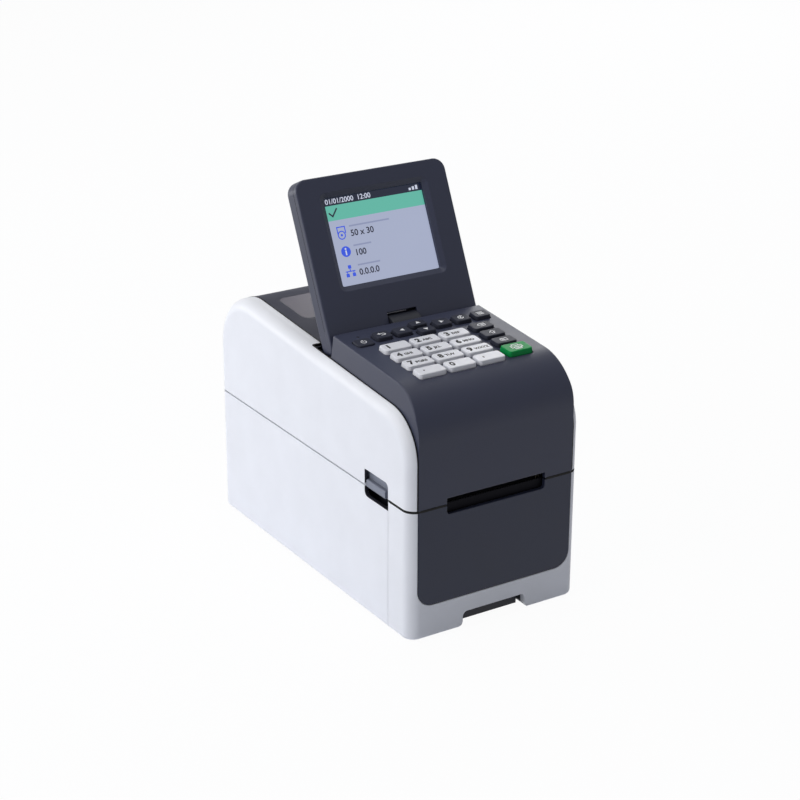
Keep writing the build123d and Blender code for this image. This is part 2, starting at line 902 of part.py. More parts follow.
# Roll guides on racks that a pinion under the roll bay keeps centred
for side, name in ((-1, "guide_left"), (1, "guide_right")):
    stem_y = (bay_y + side * (rack_side + rack_root), bay_y + side * (rack_side + rack_root + rack_back))
    inner_x = side * guide_half_gap
    outer_x = side * (guide_half_gap + guide_thickness)
    with BuildPart() as guide:
        with BuildSketch(Plane.YZ.offset(min(inner_x, outer_x))):
            with Locations((bay_y, bay_z)):
                Circle(bay_radius - slide_gap)
            with Locations((bay_y, guide_top / 2)):
                RectangleRounded(guide_width, guide_top, guide_corner, mode=Mode.INTERSECT)
        extrude(amount=guide_thickness)
        rod_x((inner_x - side * hub_length, inner_x), bay_y, bay_z, hub_radius)
        slab((inner_x, outer_x), stem_y, (rack_low, bay_z))
        with BuildSketch(Plane.XY.offset(rack_low)):
            pitch = pi * gear_module
            lean = tan(radians(pressure_angle))
            tooth_half = (pitch / 2 - gear_backlash) / 2
            tip_y = bay_y + side * (rack_side - tooth_addendum * gear_module)
            tip_half = tooth_half - tooth_addendum * gear_module * lean
            root_half = tooth_half + tooth_dedendum * gear_module * lean
            start_x = guide_half_gap + guide_thickness + rack_tail
            points = [(side * start_x, stem_y[1]), (side * start_x, stem_y[0])]
            first = int(start_x / pitch - 1) - 0.5
            last = 0.5 - int((rack_lead - guide_half_gap) / pitch)
            for index in range(int(first - last) + 1):
                centre = (first - index) * pitch
                profile = (
                    (centre + root_half, stem_y[0]),
                    (centre + tip_half, tip_y),
                    (centre - tip_half, tip_y),
                    (centre - root_half, stem_y[0]),
                )
                points += [(side * x, y) for x, y in profile]
            points += [(side * (guide_half_gap - rack_lead), y) for y in stem_y]
            with BuildLine():
                Polyline(*points, close=True)
            make_face()
        extrude(amount=rack_height)
    save(guide, name)

with BuildPart() as guide_pinion:
    with BuildSketch(Plane.XY.offset(rack_low)):
        gear_face(pinion_teeth, 90, (0, bay_y), pinion_pin_radius + running_fit)
    extrude(amount=rack_height)
save(guide_pinion, "guide_pinion")

# Main board with its sockets at the rear
with BuildPart() as main_board:
    board_rear_y = rear_y - wall - board_rear_gap
    slab((-board_half_width, board_half_width), (board_front_y, board_rear_y), (board_bottom, board_top))
    chip_y = board_front_y + board_boss_front + chip_size
    slab(
        (-chip_size / 2, chip_size / 2),
        (chip_y - chip_size / 2, chip_y + chip_size / 2),
        (board_top, board_top + chip_height),
    )
    for side in (-1, 1):
        rod_z(
            side * (chip_size / 2 + 2 * cap_radius),
            board_front_y + 2 * cap_radius,
            (board_top, board_top + cap_height),
            cap_radius,
        )
save(main_board, "main_board")


def socket_body(x, size):
    """Closed body of a rear socket, flush with the rear wall."""
    width, height, depth = size
    slab((x - width / 2, x + width / 2), (rear_y - depth, rear_y), (board_top, board_top + height))


with BuildPart() as dc_jack:
    socket_body(dc_x, dc_size)
    dc_z = board_top + dc_size[1] / 2
    jack_face = Plane(origin=(dc_x, rear_y, dc_z), x_dir=(-1, 0, 0), z_dir=(0, 1, 0))
    with BuildSketch(jack_face):
        Circle(dc_bore)
        Circle(dc_contact, mode=Mode.SUBTRACT)
    extrude(amount=-dc_depth, mode=Mode.SUBTRACT)
save(dc_jack, "dc_jack")

with BuildPart() as data_ports:
    socket_body(usb_x, usb_size)
    socket_body(lan_x, lan_size)
    for x, size, mouth in ((usb_x, usb_size, usb_mouth), (lan_x, lan_size, lan_mouth)):
        slab(
            (x - size[0] / 2 + socket_wall, x + size[0] / 2 - socket_wall),
            (rear_y - mouth, rear_y + cut_margin),
            (board_top + socket_wall, board_top + size[1] - socket_wall),
            Mode.SUBTRACT,
        )
    usb_z = board_top + usb_size[1] / 2
    slab(
        (usb_x - usb_tongue[0] / 2, usb_x + usb_tongue[0] / 2),
        (rear_y - usb_mouth, rear_y - socket_wall),
        (usb_z - usb_tongue[1] / 2, usb_z + usb_tongue[1] / 2),
    )
save(data_ports, "data_ports")

# Cover frame: white sides and rear of the cover
front_outer = cover_block(front_outline(0), shoulder_arc, half_width, shoulder_round, step_y)
rear_outer = cover_block(rear_outline(0, step_y), rear_arc, half_width, shoulder_round, step_y)
front_inner = cover_block(
    front_outline(wall), shoulder_arc - wall, inner_half, shoulder_round - wall, step_y
)
rear_inner = cover_block(
    rear_outline(wall, step_y), rear_arc - wall, inner_half, shoulder_round - wall, step_y
)
top_z = 2 * shoulder_height

with BuildPart() as cover_frame:
    add(front_outer)
    add(rear_outer)
    add(front_inner, mode=Mode.SUBTRACT)
    add(rear_inner, mode=Mode.SUBTRACT)
    slab(
        (-opening_half, opening_half),
        (front_y - cut_margin, pocket_rear_y + shadow_gap),
        (0, top_z),
        Mode.SUBTRACT,
    )
    rear_opening = (-rear_opening_half, rear_opening_half)
    slab(rear_opening, (pocket_rear_y, rear_y - wall), (0, top_z), Mode.SUBTRACT)
    rear_reach = (pocket_rear_y, rear_y + cut_margin)
    slab(rear_opening, rear_reach, (rear_panel_bottom, top_z), Mode.SUBTRACT)
    for side in (-1, 1):
        for near in (-1, 1):
            start = side * (lug_half_spacing + near * (lug_width / 2 + lug_side_gap))
            boss_x = (start, start + side * near * boss_width)
            rod_x(boss_x, hinge_y, hinge_z, boss_radius)
            slab(boss_x, (hinge_y, rear_y - wall / 2), (hinge_z - boss_radius, hinge_z + boss_radius))
        notch_half = lug_width / 2 + lug_side_gap
        slab(
            (side * (lug_half_spacing - notch_half), side * (lug_half_spacing + notch_half)),
            (hinge_y - boss_radius, rear_y + cut_margin),
            (0, hinge_z + hinge_inset + lug_top_gap),
            Mode.SUBTRACT,
        )
        reach = lug_width / 2 + lug_side_gap + boss_width
        rod_x(
            (side * (lug_half_spacing - reach), side * (lug_half_spacing + reach)),
            hinge_y,
            hinge_z,
            hinge_pin_radius + seat_fit,
            Mode.SUBTRACT,
        )
        stub_end = side * (latch_x + latch_thickness + latch_stub)
        rod_x(
            (side * (latch_x + latch_thickness + fit_gap), side * (inner_half + wall / 2)),
            latch_shaft_y,
            latch_shaft_z,
            latch_hub_radius,
        )
        rod_x(
            (side * latch_x, stub_end + side * fit_gap),
            latch_shaft_y,
            latch_shaft_z,
            latch_shaft_radius + running_fit,
            Mode.SUBTRACT,
        )
    with BuildSketch(Plane.YZ):
        side_face(
            [
                (seam_y, split_height),
                (seam_y, latch_top),
                (latch_rear_y, latch_top),
                (latch_rear_y, split_height),
            ],
            (seam_y, latch_top),
            latch_corner,
        )
    extrude(amount=half_width, both=True, mode=Mode.SUBTRACT)
save(cover_frame, "cover_frame")

with BuildPart() as cover_hinge_pins:
    reach = lug_width / 2 + lug_side_gap + boss_width
    for side in (-1, 1):
        rod_x(
            (side * (lug_half_spacing - reach), side * (lug_half_spacing + reach)),
            hinge_y,
            hinge_z,
            hinge_pin_radius,
        )
save(cover_hinge_pins, "cover_hinge_pins")

# Key places: name, u, v, width, depth, height
edit_names = ("key_erase", "key_shift", "key_paper")
nav_names = ("key_back", "key_left", None, "key_right", "key_feed", "key_menu")
digit_names = (
    ("key_1", "key_2", "key_3"),
    ("key_4", "key_5", "key_6"),
    ("key_7", "key_8", "key_9"),
    ("key_point", "key_0", "key_comma"),
)
keys = [
    ("key_power", -3 * nav_pitch, nav_row - power_drop, nav_width, nav_depth, power_key_height),
    ("key_up", 0, nav_row + arrow_spread / 2, nav_width, arrow_depth, key_height),
    ("key_down", 0, nav_row - arrow_spread / 2, nav_width, arrow_depth, key_height),
    ("key_print", edit_column, print_row, print_width, print_depth, print_key_height),
]
for index, name in enumerate(nav_names):
    if name:
        keys.append((name, (index - 2) * nav_pitch, nav_row, nav_width, nav_depth, key_height))
for index, name in enumerate(edit_names):
    keys.append((name, edit_column, edit_row - index * edit_pitch, edit_width, edit_depth, key_height))
for row, names in enumerate(digit_names):
    for column, name in enumerate(names):
        place_u = digit_column + column * digit_pitch_x
        place_v = digit_row - row * digit_pitch_y
        keys.append((name, place_u, place_v, digit_width, digit_depth, key_height))

flange_top = -plate_thickness - flange_gap
flange_bottom = flange_top - flange_thickness
pad_board_top = flange_bottom - key_travel - press_room
pad_posts = [
    (side * pad_post_u, v)
    for side in (-1, 1)
    for v in (pad_board_rear - pad_post_inset, pad_board_front + pad_post_inset)
]

# Console: dark front of the cover with the keypad and the pocket that the display stands in
console_front = (front_y, console_z(front_y))
inner_y = front_y + wall
inner_rear = console_rear_y - wall
inner_drop = plate_thickness / cos(radians(front_slope))
lower_y = front_y + console_overlap
with BuildPart() as console_housing:
    with BuildSketch(Plane.YZ):
        side_face(
            [
                (front_y, cover_bottom),
                console_front,
                (console_rear_y, console_z(console_rear_y)),
                (console_rear_y, cover_bottom),
            ],
            console_front,
            console_arc,
        )
    extrude(amount=console_half_width, both=True)
    for side in (-1, 1):
        edge = Vector(0, cos(radians(front_slope)), sin(radians(front_slope)))
        foot = Vector(side * console_half_width, front_y, shoulder_z(front_y))
        crown = Vector(side * (console_half_width - console_draft), front_y, console_z(front_y))
        outward = edge.cross(crown - foot)
        keep = Keep.BOTTOM if outward.X * side > 0 else Keep.TOP
        split(bisect_by=Plane(origin=foot, x_dir=edge, z_dir=outward), keep=keep)
    rim = []
    for face in console_housing.faces():
        if abs(face.normal_at().X) > 0.9:
            for edge in face.edges():
                middle = edge.center()
                if middle.Z > shoulder_z(middle.Y) + cut_margin and middle.Y < console_rear_y - cut_margin:
                    rim.append(edge)
    fillet(rim, console_edge)
    with BuildSketch(Plane.YZ):
        side_face(
            [
                (inner_y, 0),
                (inner_y, console_z(inner_y) - inner_drop),
                (inner_rear, console_z(inner_rear) - inner_drop),
                (inner_rear, 0),
            ],
            (inner_y, console_z(inner_y) - inner_drop),
            console_arc - wall,
        )
    extrude(amount=console_half_width - console_wall, both=True, mode=Mode.SUBTRACT)
    with BuildSketch(Plane.YZ):
        side_face(
            [
                (lower_y, 0),
                (lower_y, shoulder_z(lower_y) - console_overlap),
                (pocket_rear_y + cut_margin, shoulder_z(pocket_rear_y + cut_margin) - console_overlap),
                (pocket_rear_y + cut_margin, 0),
            ],
            (lower_y, shoulder_z(lower_y) - console_overlap),
            shoulder_arc - console_overlap,
        )
    extrude(amount=half_width, both=True, mode=Mode.SUBTRACT)
    slab(
        (-console_half_width, console_half_width),
        (inner_rear, pocket_rear_y),
        (pocket_floor - wall, pocket_floor),
    )
    slab(
        (-slot_half_width, slot_half_width),
        (front_y - cut_margin, front_y + wall + cut_margin),
        (0, slot_top),
        Mode.SUBTRACT,
    )
    well_rear = pad_board_rear
    well_depth = abs(pad_board_front - well_rear)
    with BuildSketch(keypad.offset(-plate_thickness)):
        with Locations((0, well_rear - well_depth / 2)):
            Rectangle(pad_board_width, well_depth)
    extrude(amount=pad_board_top - board_thickness, mode=Mode.SUBTRACT)
    with BuildSketch(keypad.offset(pad_board_top)):
        with Locations(*pad_posts):
            Circle(pad_post_radius)
    extrude(amount=-plate_thickness - pad_board_top)
    with BuildSketch(keypad.offset(flange_bottom)):
        for name, u, v, width, depth, height in keys:
            with Locations((u, v)):
                RectangleRounded(width + 2 * key_gap, depth + 2 * key_gap, key_corner + key_gap)
    extrude(amount=plate_thickness - flange_bottom, mode=Mode.SUBTRACT)
save(console_housing, "console_housing")

for name, u, v, width, depth, height in keys:
    with BuildPart() as key:
        with BuildSketch(keypad.offset(flange_bottom)):
            with Locations((u, v)):
                RectangleRounded(width + 2 * flange_width, depth + 2 * flange_width, key_corner)
        extrude(amount=flange_thickness)
        with BuildSketch(keypad.offset(flange_top)):
            with Locations((u, v)):
                RectangleRounded(width, depth, key_corner)
        extrude(amount=plate_thickness + flange_gap)
        with BuildSketch(keypad):
            with Locations((u, v)):
                RectangleRounded(width, depth, key_corner)
        extrude(amount=height, taper=key_taper)
        crown = key.faces().sort_by(Axis(keypad.origin, keypad.z_dir))[-1]
        fillet(crown.edges(), key_edge)
    save(key, name)

with BuildPart() as keypad_board:
    board_depth = pad_board_rear - pad_board_front
    with BuildSketch(keypad.offset(pad_board_top - board_thickness)):
        with Locations((0, (pad_board_rear + pad_board_front) / 2)):
            Rectangle(pad_board_width, board_depth)
    extrude(amount=board_thickness)
save(keypad_board, "keypad_board")

# Rear panel behind the display and the smoked window let into it
panel_points, panel_corner_point = rear_outline(panel_recess, pocket_rear_y)
under_points, under_corner = rear_outline(panel_recess + wall, pocket_rear_y + wall)
slope = radians(front_slope)
window_middle = window_front_y + window_length / 2
window_plane = Plane(
    origin=(0, window_middle, shoulder_z(window_middle) - panel_recess / cos(slope)),
    x_dir=(1, 0, 0),
    z_dir=(0, -sin(slope), cos(slope)),
)

with BuildPart() as rear_panel:
    with BuildSketch(Plane.YZ):
        side_face(panel_points, panel_corner_point, rear_arc - panel_recess)
    extrude(amount=rear_half_width, both=True)
    with BuildSketch(Plane.YZ):
        side_face(under_points, under_corner, rear_arc - panel_recess - wall)
    extrude(amount=half_width, both=True, mode=Mode.SUBTRACT)
    slab((-half_width, half_width), (rear_y / 2, rear_y), (0, rear_panel_bottom + fit_gap), Mode.SUBTRACT)
    slab((-half_width, half_width), (pocket_rear_y, rear_y / 2), (0, pocket_floor - wall), Mode.SUBTRACT)
    with BuildSketch(window_plane):
        RectangleRounded(2 * window_half_width, window_length, window_corner)
    extrude(amount=-window_thickness, mode=Mode.SUBTRACT)
    with BuildSketch(window_plane):
        RectangleRounded(
            2 * (window_half_width - window_ledge),
            window_length - 2 * window_ledge,
            window_ledge,
        )
    extrude(amount=-2 * wall, mode=Mode.SUBTRACT)
    for side in (-1, 1):
        rail_x = (side * (rear_half_width - console_wall), side * (rear_half_width + rail_overhang))
        low = rail_drop / cos(slope)
        with BuildSketch(Plane.YZ.offset(min(rail_x))):
            ends = (pocket_rear_y + wall, window_middle)
            points = [(y, shoulder_z(y) - low) for y in ends]
            points += [(y, shoulder_z(y) - low - rail_height) for y in reversed(ends)]
            side_face(points)
        extrude(amount=console_wall + rail_overhang)
save(rear_panel, "rear_panel")

with BuildPart() as smoked_window:
    with BuildSketch(window_plane):
        RectangleRounded(
            2 * (window_half_width - running_fit),
            window_length - 2 * running_fit,
            window_corner - running_fit,
        )
    extrude(amount=-window_thickness)
save(smoked_window, "smoked_window")

# Print head and the bracket that holds it under the console
head_low = roller_z + roller_radius + head_gap
head_y = (roller_y - head_depth / 2, roller_y + head_depth / 2)
with BuildPart() as print_head:
    slab((-head_half_width, head_half_width), head_y, (head_low + head_step, head_low + head_height))
    slab(
        (-head_half_width + head_step, head_half_width - head_step),
        (roller_y - head_depth / 4, roller_y + head_depth / 4),
        (head_low, head_low + head_step),
    )
save(print_head, "print_head")

with BuildPart() as head_bracket:
    bracket_low = head_low + head_height
    slab(
        (-bracket_half_width, bracket_half_width),
        (inner_y, head_y[1]),
        (bracket_low, bracket_low + bracket_sheet),
    )
    slab(
        (-bracket_half_width, bracket_half_width),
        (inner_y, inner_y + bracket_sheet),
        (bracket_low, bracket_low + bracket_height),
    )
save(head_bracket, "head_bracket")

# Latch lever: one moulding with a cross shaft, two plates with finger tabs, and two hooks
with BuildPart() as latch_lever:
    plate_rear = latch_rear_y + latch_margin
    plate_front = seam_y - latch_margin
    hook_front = plate_front - hook_width
    for side in (-1, 1):
        plate_x = (side * latch_x, side * (latch_x + latch_thickness))
        slab(plate_x, (hook_front, plate_rear), (tab_low, latch_plate_top))
        slab(
            plate_x,
            (plate_rear - cut_margin, latch_shaft_y),
            (latch_shaft_z - latch_hub_radius, latch_shaft_z + latch_shaft_radius),
        )
        rod_x(plate_x, latch_shaft_y, latch_shaft_z, latch_hub_radius)
        slab(
            (side * latch_x, side * (latch_x + tab_reach)),
            (tab_rear_y - tab_length, tab_rear_y),
            (tab_low, tab_high),
        )
        slab(plate_x, (hook_front, plate_front), (hook_low, tab_low))
        slab(plate_x, (hook_front, plate_front + hook_nose), (hook_low, hook_low + hook_nose_height))
    reach = latch_x + latch_thickness + latch_stub
    rod_x((-reach, reach), latch_shaft_y, latch_shaft_z, latch_shaft_radius)
    outer_edges = latch_lever.edges().filter_by(Axis.Y).group_by(Axis.X)
    fillet(outer_edges[0] + outer_edges[-1], tab_edge)
save(latch_lever, "latch_lever")


def display_blank(low, high):
    """Slice of the display body between two depths, round at its lower end."""
    with BuildPart() as blank:
        with BuildSketch(screen_side):
            with Locations((display_length / 2, 0)):
                Rectangle(display_length, display_thickness)
            Circle(display_thickness / 2)
            with Locations((0, (low + high) / 2)):
                Rectangle(3 * display_length, high - low, mode=Mode.INTERSECT)
        extrude(amount=display_half_width, both=True)
        upright = Axis(screen.origin, screen.y_dir)
        crown = blank.faces().sort_by(upright)[-1]
        fillet(crown.edges().filter_by(Axis(screen.origin, screen.z_dir)), display_corner)
    return blank.part


def display_notch():
    """Clear the room of the hinge knuckle at the foot of the display."""
    notch_top = knuckle_radius + notch_headroom
    with BuildSketch(screen.offset(-display_thickness)) as notch:
        with Locations((0, notch_top - display_length / 2)):
            Rectangle(2 * (knuckle_half_width + notch_gap), display_length)
    extrude(notch.sketch, amount=2 * display_thickness, mode=Mode.SUBTRACT)


front_face = display_thickness / 2
bezel_blank = display_blank(display_seam, front_face)
back_blank = display_blank(-front_face, display_seam)
screen_depth = Axis(screen.origin, screen.z_dir)
screen_rise = Axis(screen.origin, screen.y_dir)

with BuildPart() as display_bezel:
    add(bezel_blank)
    rim = display_bezel.faces().sort_by(screen_depth)[-1].edges().sort_by(screen_rise)[1:]
    fillet(rim, display_edge)
    with BuildSketch(screen.offset(front_face)):
        with Locations((0, lcd_centre)):
            RectangleRounded(
                lcd_view_width + 2 * lcd_slope,
                lcd_view_height + 2 * lcd_slope,
                lcd_corner + lcd_slope,
            )
    with BuildSketch(screen.offset(front_face - lcd_recess)):
        with Locations((0, lcd_centre)):
            RectangleRounded(lcd_view_width, lcd_view_height, lcd_corner)
    loft(mode=Mode.SUBTRACT)
    with BuildSketch(screen.offset(display_seam)):
        with Locations((0, lcd_centre)):
            RectangleRounded(lcd_view_width, lcd_view_height, lcd_corner)
    extrude(amount=bezel_thickness, mode=Mode.SUBTRACT)
    display_notch()
save(display_bezel, "display_bezel")

with BuildPart() as display_back:
    add(back_blank)
    rim = display_back.faces().sort_by(screen_depth)[0].edges().sort_by(screen_rise)[1:]
    fillet(rim, back_edge)
    cavity_top = display_length - back_wall - bezel_thickness
    with BuildSketch(screen.offset(display_seam)):
        with Locations((0, (display_floor + cavity_top) / 2)):
            RectangleRounded(
                2 * (display_half_width - back_wall - back_edge),
                cavity_top - display_floor,
                display_corner / 2,
            )
    extrude(amount=-(display_thickness - bezel_thickness - back_wall), mode=Mode.SUBTRACT)
    display_notch()
    pin_half = display_pin_length / 2
    rod_x((-pin_half, pin_half), pivot_y, pivot_z, display_pin_radius + seat_fit, Mode.SUBTRACT)
save(display_back, "display_back")

with BuildPart() as lcd_panel:
    with BuildSketch(screen.offset(display_seam - lcd_thickness)):
        with Locations((0, lcd_centre)):
            Rectangle(lcd_view_width + 2 * lcd_margin, lcd_view_height + 2 * lcd_margin)
    extrude(amount=lcd_thickness)
save(lcd_panel, "lcd_panel")

with BuildPart() as display_hinge_pin:
    rod_x((-pin_half, pin_half), pivot_y, pivot_z, display_pin_radius)
save(display_hinge_pin, "display_hinge_pin")

with BuildPart() as hinge_knuckle:
    rod_x((-knuckle_half_width, knuckle_half_width), pivot_y, pivot_z, knuckle_radius)
    slab(
        (-half_width, half_width),
        (console_rear_y, pocket_rear_y),
        (pocket_floor, pivot_z + 2 * knuckle_radius),
        Mode.INTERSECT,
    )
    rod_x((-half_width, half_width), pivot_y, pivot_z, display_pin_radius + running_fit, Mode.SUBTRACT)
save(hinge_knuckle, "hinge_knuckle")
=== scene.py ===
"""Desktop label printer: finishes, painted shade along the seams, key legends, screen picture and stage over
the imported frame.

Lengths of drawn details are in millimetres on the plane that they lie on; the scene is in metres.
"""

from math import cos, pi, radians, sin, tan

import bmesh
import bpy
from bpy.props import FloatProperty, FloatVectorProperty, PointerProperty
from mathutils import Matrix, Vector


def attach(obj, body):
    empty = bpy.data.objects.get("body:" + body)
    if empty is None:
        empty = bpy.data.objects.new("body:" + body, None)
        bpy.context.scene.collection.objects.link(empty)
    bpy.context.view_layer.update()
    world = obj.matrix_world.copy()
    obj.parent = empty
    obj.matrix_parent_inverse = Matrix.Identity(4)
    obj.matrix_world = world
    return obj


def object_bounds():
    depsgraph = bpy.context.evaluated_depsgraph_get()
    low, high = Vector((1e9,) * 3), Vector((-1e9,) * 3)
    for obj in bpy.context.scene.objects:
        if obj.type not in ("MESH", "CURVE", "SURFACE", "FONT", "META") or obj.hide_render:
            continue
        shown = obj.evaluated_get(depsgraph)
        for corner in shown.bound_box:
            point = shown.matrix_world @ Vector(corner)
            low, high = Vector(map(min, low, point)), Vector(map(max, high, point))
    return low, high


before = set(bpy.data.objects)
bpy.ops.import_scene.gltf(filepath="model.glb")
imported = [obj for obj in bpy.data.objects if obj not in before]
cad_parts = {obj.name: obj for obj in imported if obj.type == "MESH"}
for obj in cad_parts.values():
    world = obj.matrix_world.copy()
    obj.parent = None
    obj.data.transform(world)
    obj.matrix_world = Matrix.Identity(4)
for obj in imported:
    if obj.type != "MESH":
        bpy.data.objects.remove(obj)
cad_low, cad_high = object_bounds()

bl_info = {
    "name": "Label Printer Dress",
    "version": (1, 0, 0),
    "blender": (4, 5, 0),
    "location": "3D View > Sidebar > Printer",
    "description": "Gives the desktop label printer its finishes, legends, screen picture and stage",
    "category": "Object",
}

MM = 0.001
KEYPAD_SLOPE = radians(4.3)
DISPLAY_LEAN = radians(24.9)
RIGHT = Vector((1, 0, 0))
KEYPAD_NORMAL = Vector((0, -sin(KEYPAD_SLOPE), cos(KEYPAD_SLOPE)))
SCREEN_NORMAL = Vector((0, -cos(DISPLAY_LEAN), sin(DISPLAY_LEAN)))


def srgb(red, green, blue):
    """Linear colour of an 8-bit display colour."""
    parts = []
    for level in (red, green, blue):
        share = level / 255
        parts.append(share / 12.92 if share <= 0.04045 else ((share + 0.055) / 1.055) ** 2.4)
    return tuple(parts)


def colour(name, words, default):
    """Colour property of a finish."""
    return FloatVectorProperty(
        name=name, description=words, subtype="COLOR", size=3, min=0, max=1, default=default
    )


def turning(name, words, degrees):
    """Angle property of the camera."""
    return FloatProperty(name=name, description=words, subtype="ANGLE", default=radians(degrees))


def watts(name, words, default):
    """Power property of a lamp."""
    return FloatProperty(name=name, description=words, unit="POWER", default=default)


# Near-black of the painted shade that fills the gaps along the seams.
PAINTED_SHADE_BLACK = srgb(5, 5, 7)
BLACKENED_STEEL = srgb(20, 20, 24)
CAST_METAL = srgb(188, 190, 194)
BRASS = srgb(206, 170, 96)
CERAMIC = srgb(208, 203, 192)
FLOOR_TINT = (0.85, 0.88, 0.97)
BLACK = (0, 0, 0)
WHITE = (1, 1, 1)


class PrinterColours(bpy.types.PropertyGroup):
    """Colours of the printer's finishes."""

    white: colour("White shell", "Case, front bezel and cover sides", srgb(235, 237, 243))
    charcoal: colour("Charcoal shell", "Console, display and hinge housings", srgb(50, 54, 74))
    panel: colour("Front panel", "Plate below the label slot", srgb(42, 47, 67))
    rear: colour("Rear panel", "Panel around the window", srgb(38, 40, 58))
    black: colour("Black mouldings", "Tray, guides, sensor and hinge block", srgb(36, 38, 47))
    latch: colour("Latch", "Finger tab and its plate", srgb(124, 129, 143))
    steel: colour("Steel", "Shafts, screws and the frame", srgb(176, 178, 182))
    rubber: colour("Rubber", "Feet and platen roller", srgb(40, 40, 43))
    board: colour("Board", "Solder mask of the circuit boards", srgb(24, 92, 52))
    natural: colour("Natural plastic", "Gears and bushes", srgb(222, 214, 192))
    smoke: colour("Smoked window", "Window over the roll", srgb(80, 75, 90))
    white_key: colour("White keys", "Digit keys", srgb(236, 237, 244))
    dark_key: colour("Dark keys", "Function keys", srgb(50, 52, 64))
    green_key: colour("Green key", "Print key", srgb(6, 146, 72))
    ink: colour("Dark ink", "Digits on the white keys", srgb(14, 14, 17))
    paint: colour("White ink", "Symbols on the dark keys", srgb(246, 247, 250))


class ScreenColours(bpy.types.PropertyGroup):
    """Colours of the lit picture on the display."""

    field: colour("Field", "Ground of the picture", srgb(168, 176, 202))
    bar: colour("Top bar", "Bar with the clock", srgb(27, 33, 54))
    band: colour("Status band", "Band with the tick", srgb(98, 184, 166))
    icon: colour("Icons", "Symbols at the left", srgb(56, 88, 222))
    digits: colour("Digits", "Figures beside the icons", srgb(36, 38, 58))
    faint: colour("Caption lines", "Pale lines above the figures", srgb(142, 150, 182))
    clock: colour("Clock", "Figures in the top bar", srgb(206, 212, 230))


class PrinterStage(bpy.types.PropertyGroup):
    """Camera and light."""

    lens: FloatProperty(
        name="Lens", description="Focal length in millimetres over a 36 mm sensor", default=91.48
    )
    camera_place: FloatVectorProperty(
        name="Camera", description="Place of the camera", subtype="TRANSLATION", unit="LENGTH",
        default=(-0.5715, -0.9090, 0.5305),
    )
    azimuth: turning("Azimuth", "Bearing of the camera", -32.417)
    elevation: turning("Elevation", "Height angle of the camera", 22.163)
    roll: turning("Roll", "Tilt of the picture", 0.207)
    key_power: watts("Key light", "Power of the left lamp", 9.6)
    side_power: watts("Side light", "Power of the low lamp", 7.8)
    back_power: watts("Back light", "Power of the rear lamp", 7.5)
    top_power: watts("Top light", "Power of the upper lamp", 9.5)
    ambient: FloatProperty(name="Ambient", description="Strength of the even light all round", default=0.1)


EDGE_SAMPLES = 6
EDGE_CONTRAST = 5
MOULD_GRAIN = 0.00045
MOULD_EDGE = 0.0005
METAL_EDGE = 0.0003
RUBBER_EDGE = 0.0005
SCRATCH_LENGTH = 40


class Value:
    """A number that varies over a surface. Python operators on it add Math nodes."""

    def __init__(self, nodes, socket):
        self.nodes = nodes
        self.socket = socket

    def maths(self, operation, first, second):
        return self.nodes.node("ShaderNodeMath", {"operation": operation}, {0: first, 1: second})

    def __add__(self, other):
        return self.maths("ADD", self, other)

    def __radd__(self, other):
        return self.maths("ADD", other, self)

    def __sub__(self, other):
        return self.maths("SUBTRACT", self, other)

    def __rsub__(self, other):
        return self.maths("SUBTRACT", other, self)

    def __mul__(self, other):
        return self.maths("MULTIPLY", self, other)

    def __rmul__(self, other):
        return self.maths("MULTIPLY", other, self)

    def cut(self):
        """The same number held between 0 and 1."""
        return self.nodes.node("ShaderNodeClamp", {}, {"Value": self})


class Nodes:
    """A shader node tree."""

    def __init__(self, tree):
        self.tree = tree

    def node(self, kind, settings=None, inputs=None, output=0):
        """Add a node: its settings first, then the values or links of its sockets."""
        made = self.tree.nodes.new(kind)
        for key, value in (settings or {}).items():
            setattr(made, key, value)
        for key, value in (inputs or {}).items():
            self.connect(made.inputs[key], value)
        return Value(self, made.outputs[output])

    def connect(self, socket, value):
        if isinstance(value, Value):
            self.tree.links.new(value.socket, socket)
        else:
            socket.default_value = value


class Finish(Nodes):
    """One procedural material and the nodes that make it."""

    def __init__(self, name):
        self.material = bpy.data.materials.new(name)
        self.material.use_nodes = True
        super().__init__(self.material.node_tree)
        self.shader = self.tree.nodes["Principled BSDF"]
        self.place = self.node("ShaderNodeTexCoord", output="Object")

    def surface(self, **inputs):
        """Set or link sockets of the shader, named with underscores for spaces."""
        for key, value in inputs.items():
            self.connect(self.shader.inputs[key.replace("_", " ").title().replace("Ior", "IOR")], value)

    def noise(self, grain, detail=2.0, stretch=(1, 1, 1)):
        """Noise from 0 to 1 with patches of the given size in metres, longer where stretch is large."""
        scale = tuple(1 / (grain * part) for part in stretch)
        spread = self.node("ShaderNodeMapping", {}, {"Vector": self.place, "Scale": scale})
        return self.node("ShaderNodeTexNoise", {}, {"Vector": spread, "Scale": 1.0, "Detail": detail})

    def mix(self, share, first, second):
        """Colour between two colours."""
        return self.node("ShaderNodeMix", {"data_type": "RGBA"}, {0: share, 6: first, 7: second}, 2)

    def edges(self, radius):
        """Softened normal of the surface and a mask of its sharp edges."""
        soft = self.node("ShaderNodeBevel", {"samples": EDGE_SAMPLES}, {"Radius": radius})
        true = self.node("ShaderNodeNewGeometry", output="Normal")
        meeting = self.node("ShaderNodeVectorMath", {"operation": "DOT_PRODUCT"}, {0: soft, 1: true}, "Value")
        return soft, ((1 - meeting) * EDGE_CONTRAST).cut()

    def relief(self, height, depth, strength, normal=None):
        """Bump of the given depth in metres, fed to the shader's normal."""
        inputs = {"Height": height, "Distance": depth, "Strength": strength}
        if normal is not None:
            inputs["Normal"] = normal
        self.surface(normal=self.node("ShaderNodeBump", {}, inputs))


def rgba(tint, level=1.0):
    """Colour with alpha, made lighter or darker by level."""
    return tuple(min(1.0, part * level) for part in tint) + (1.0,)


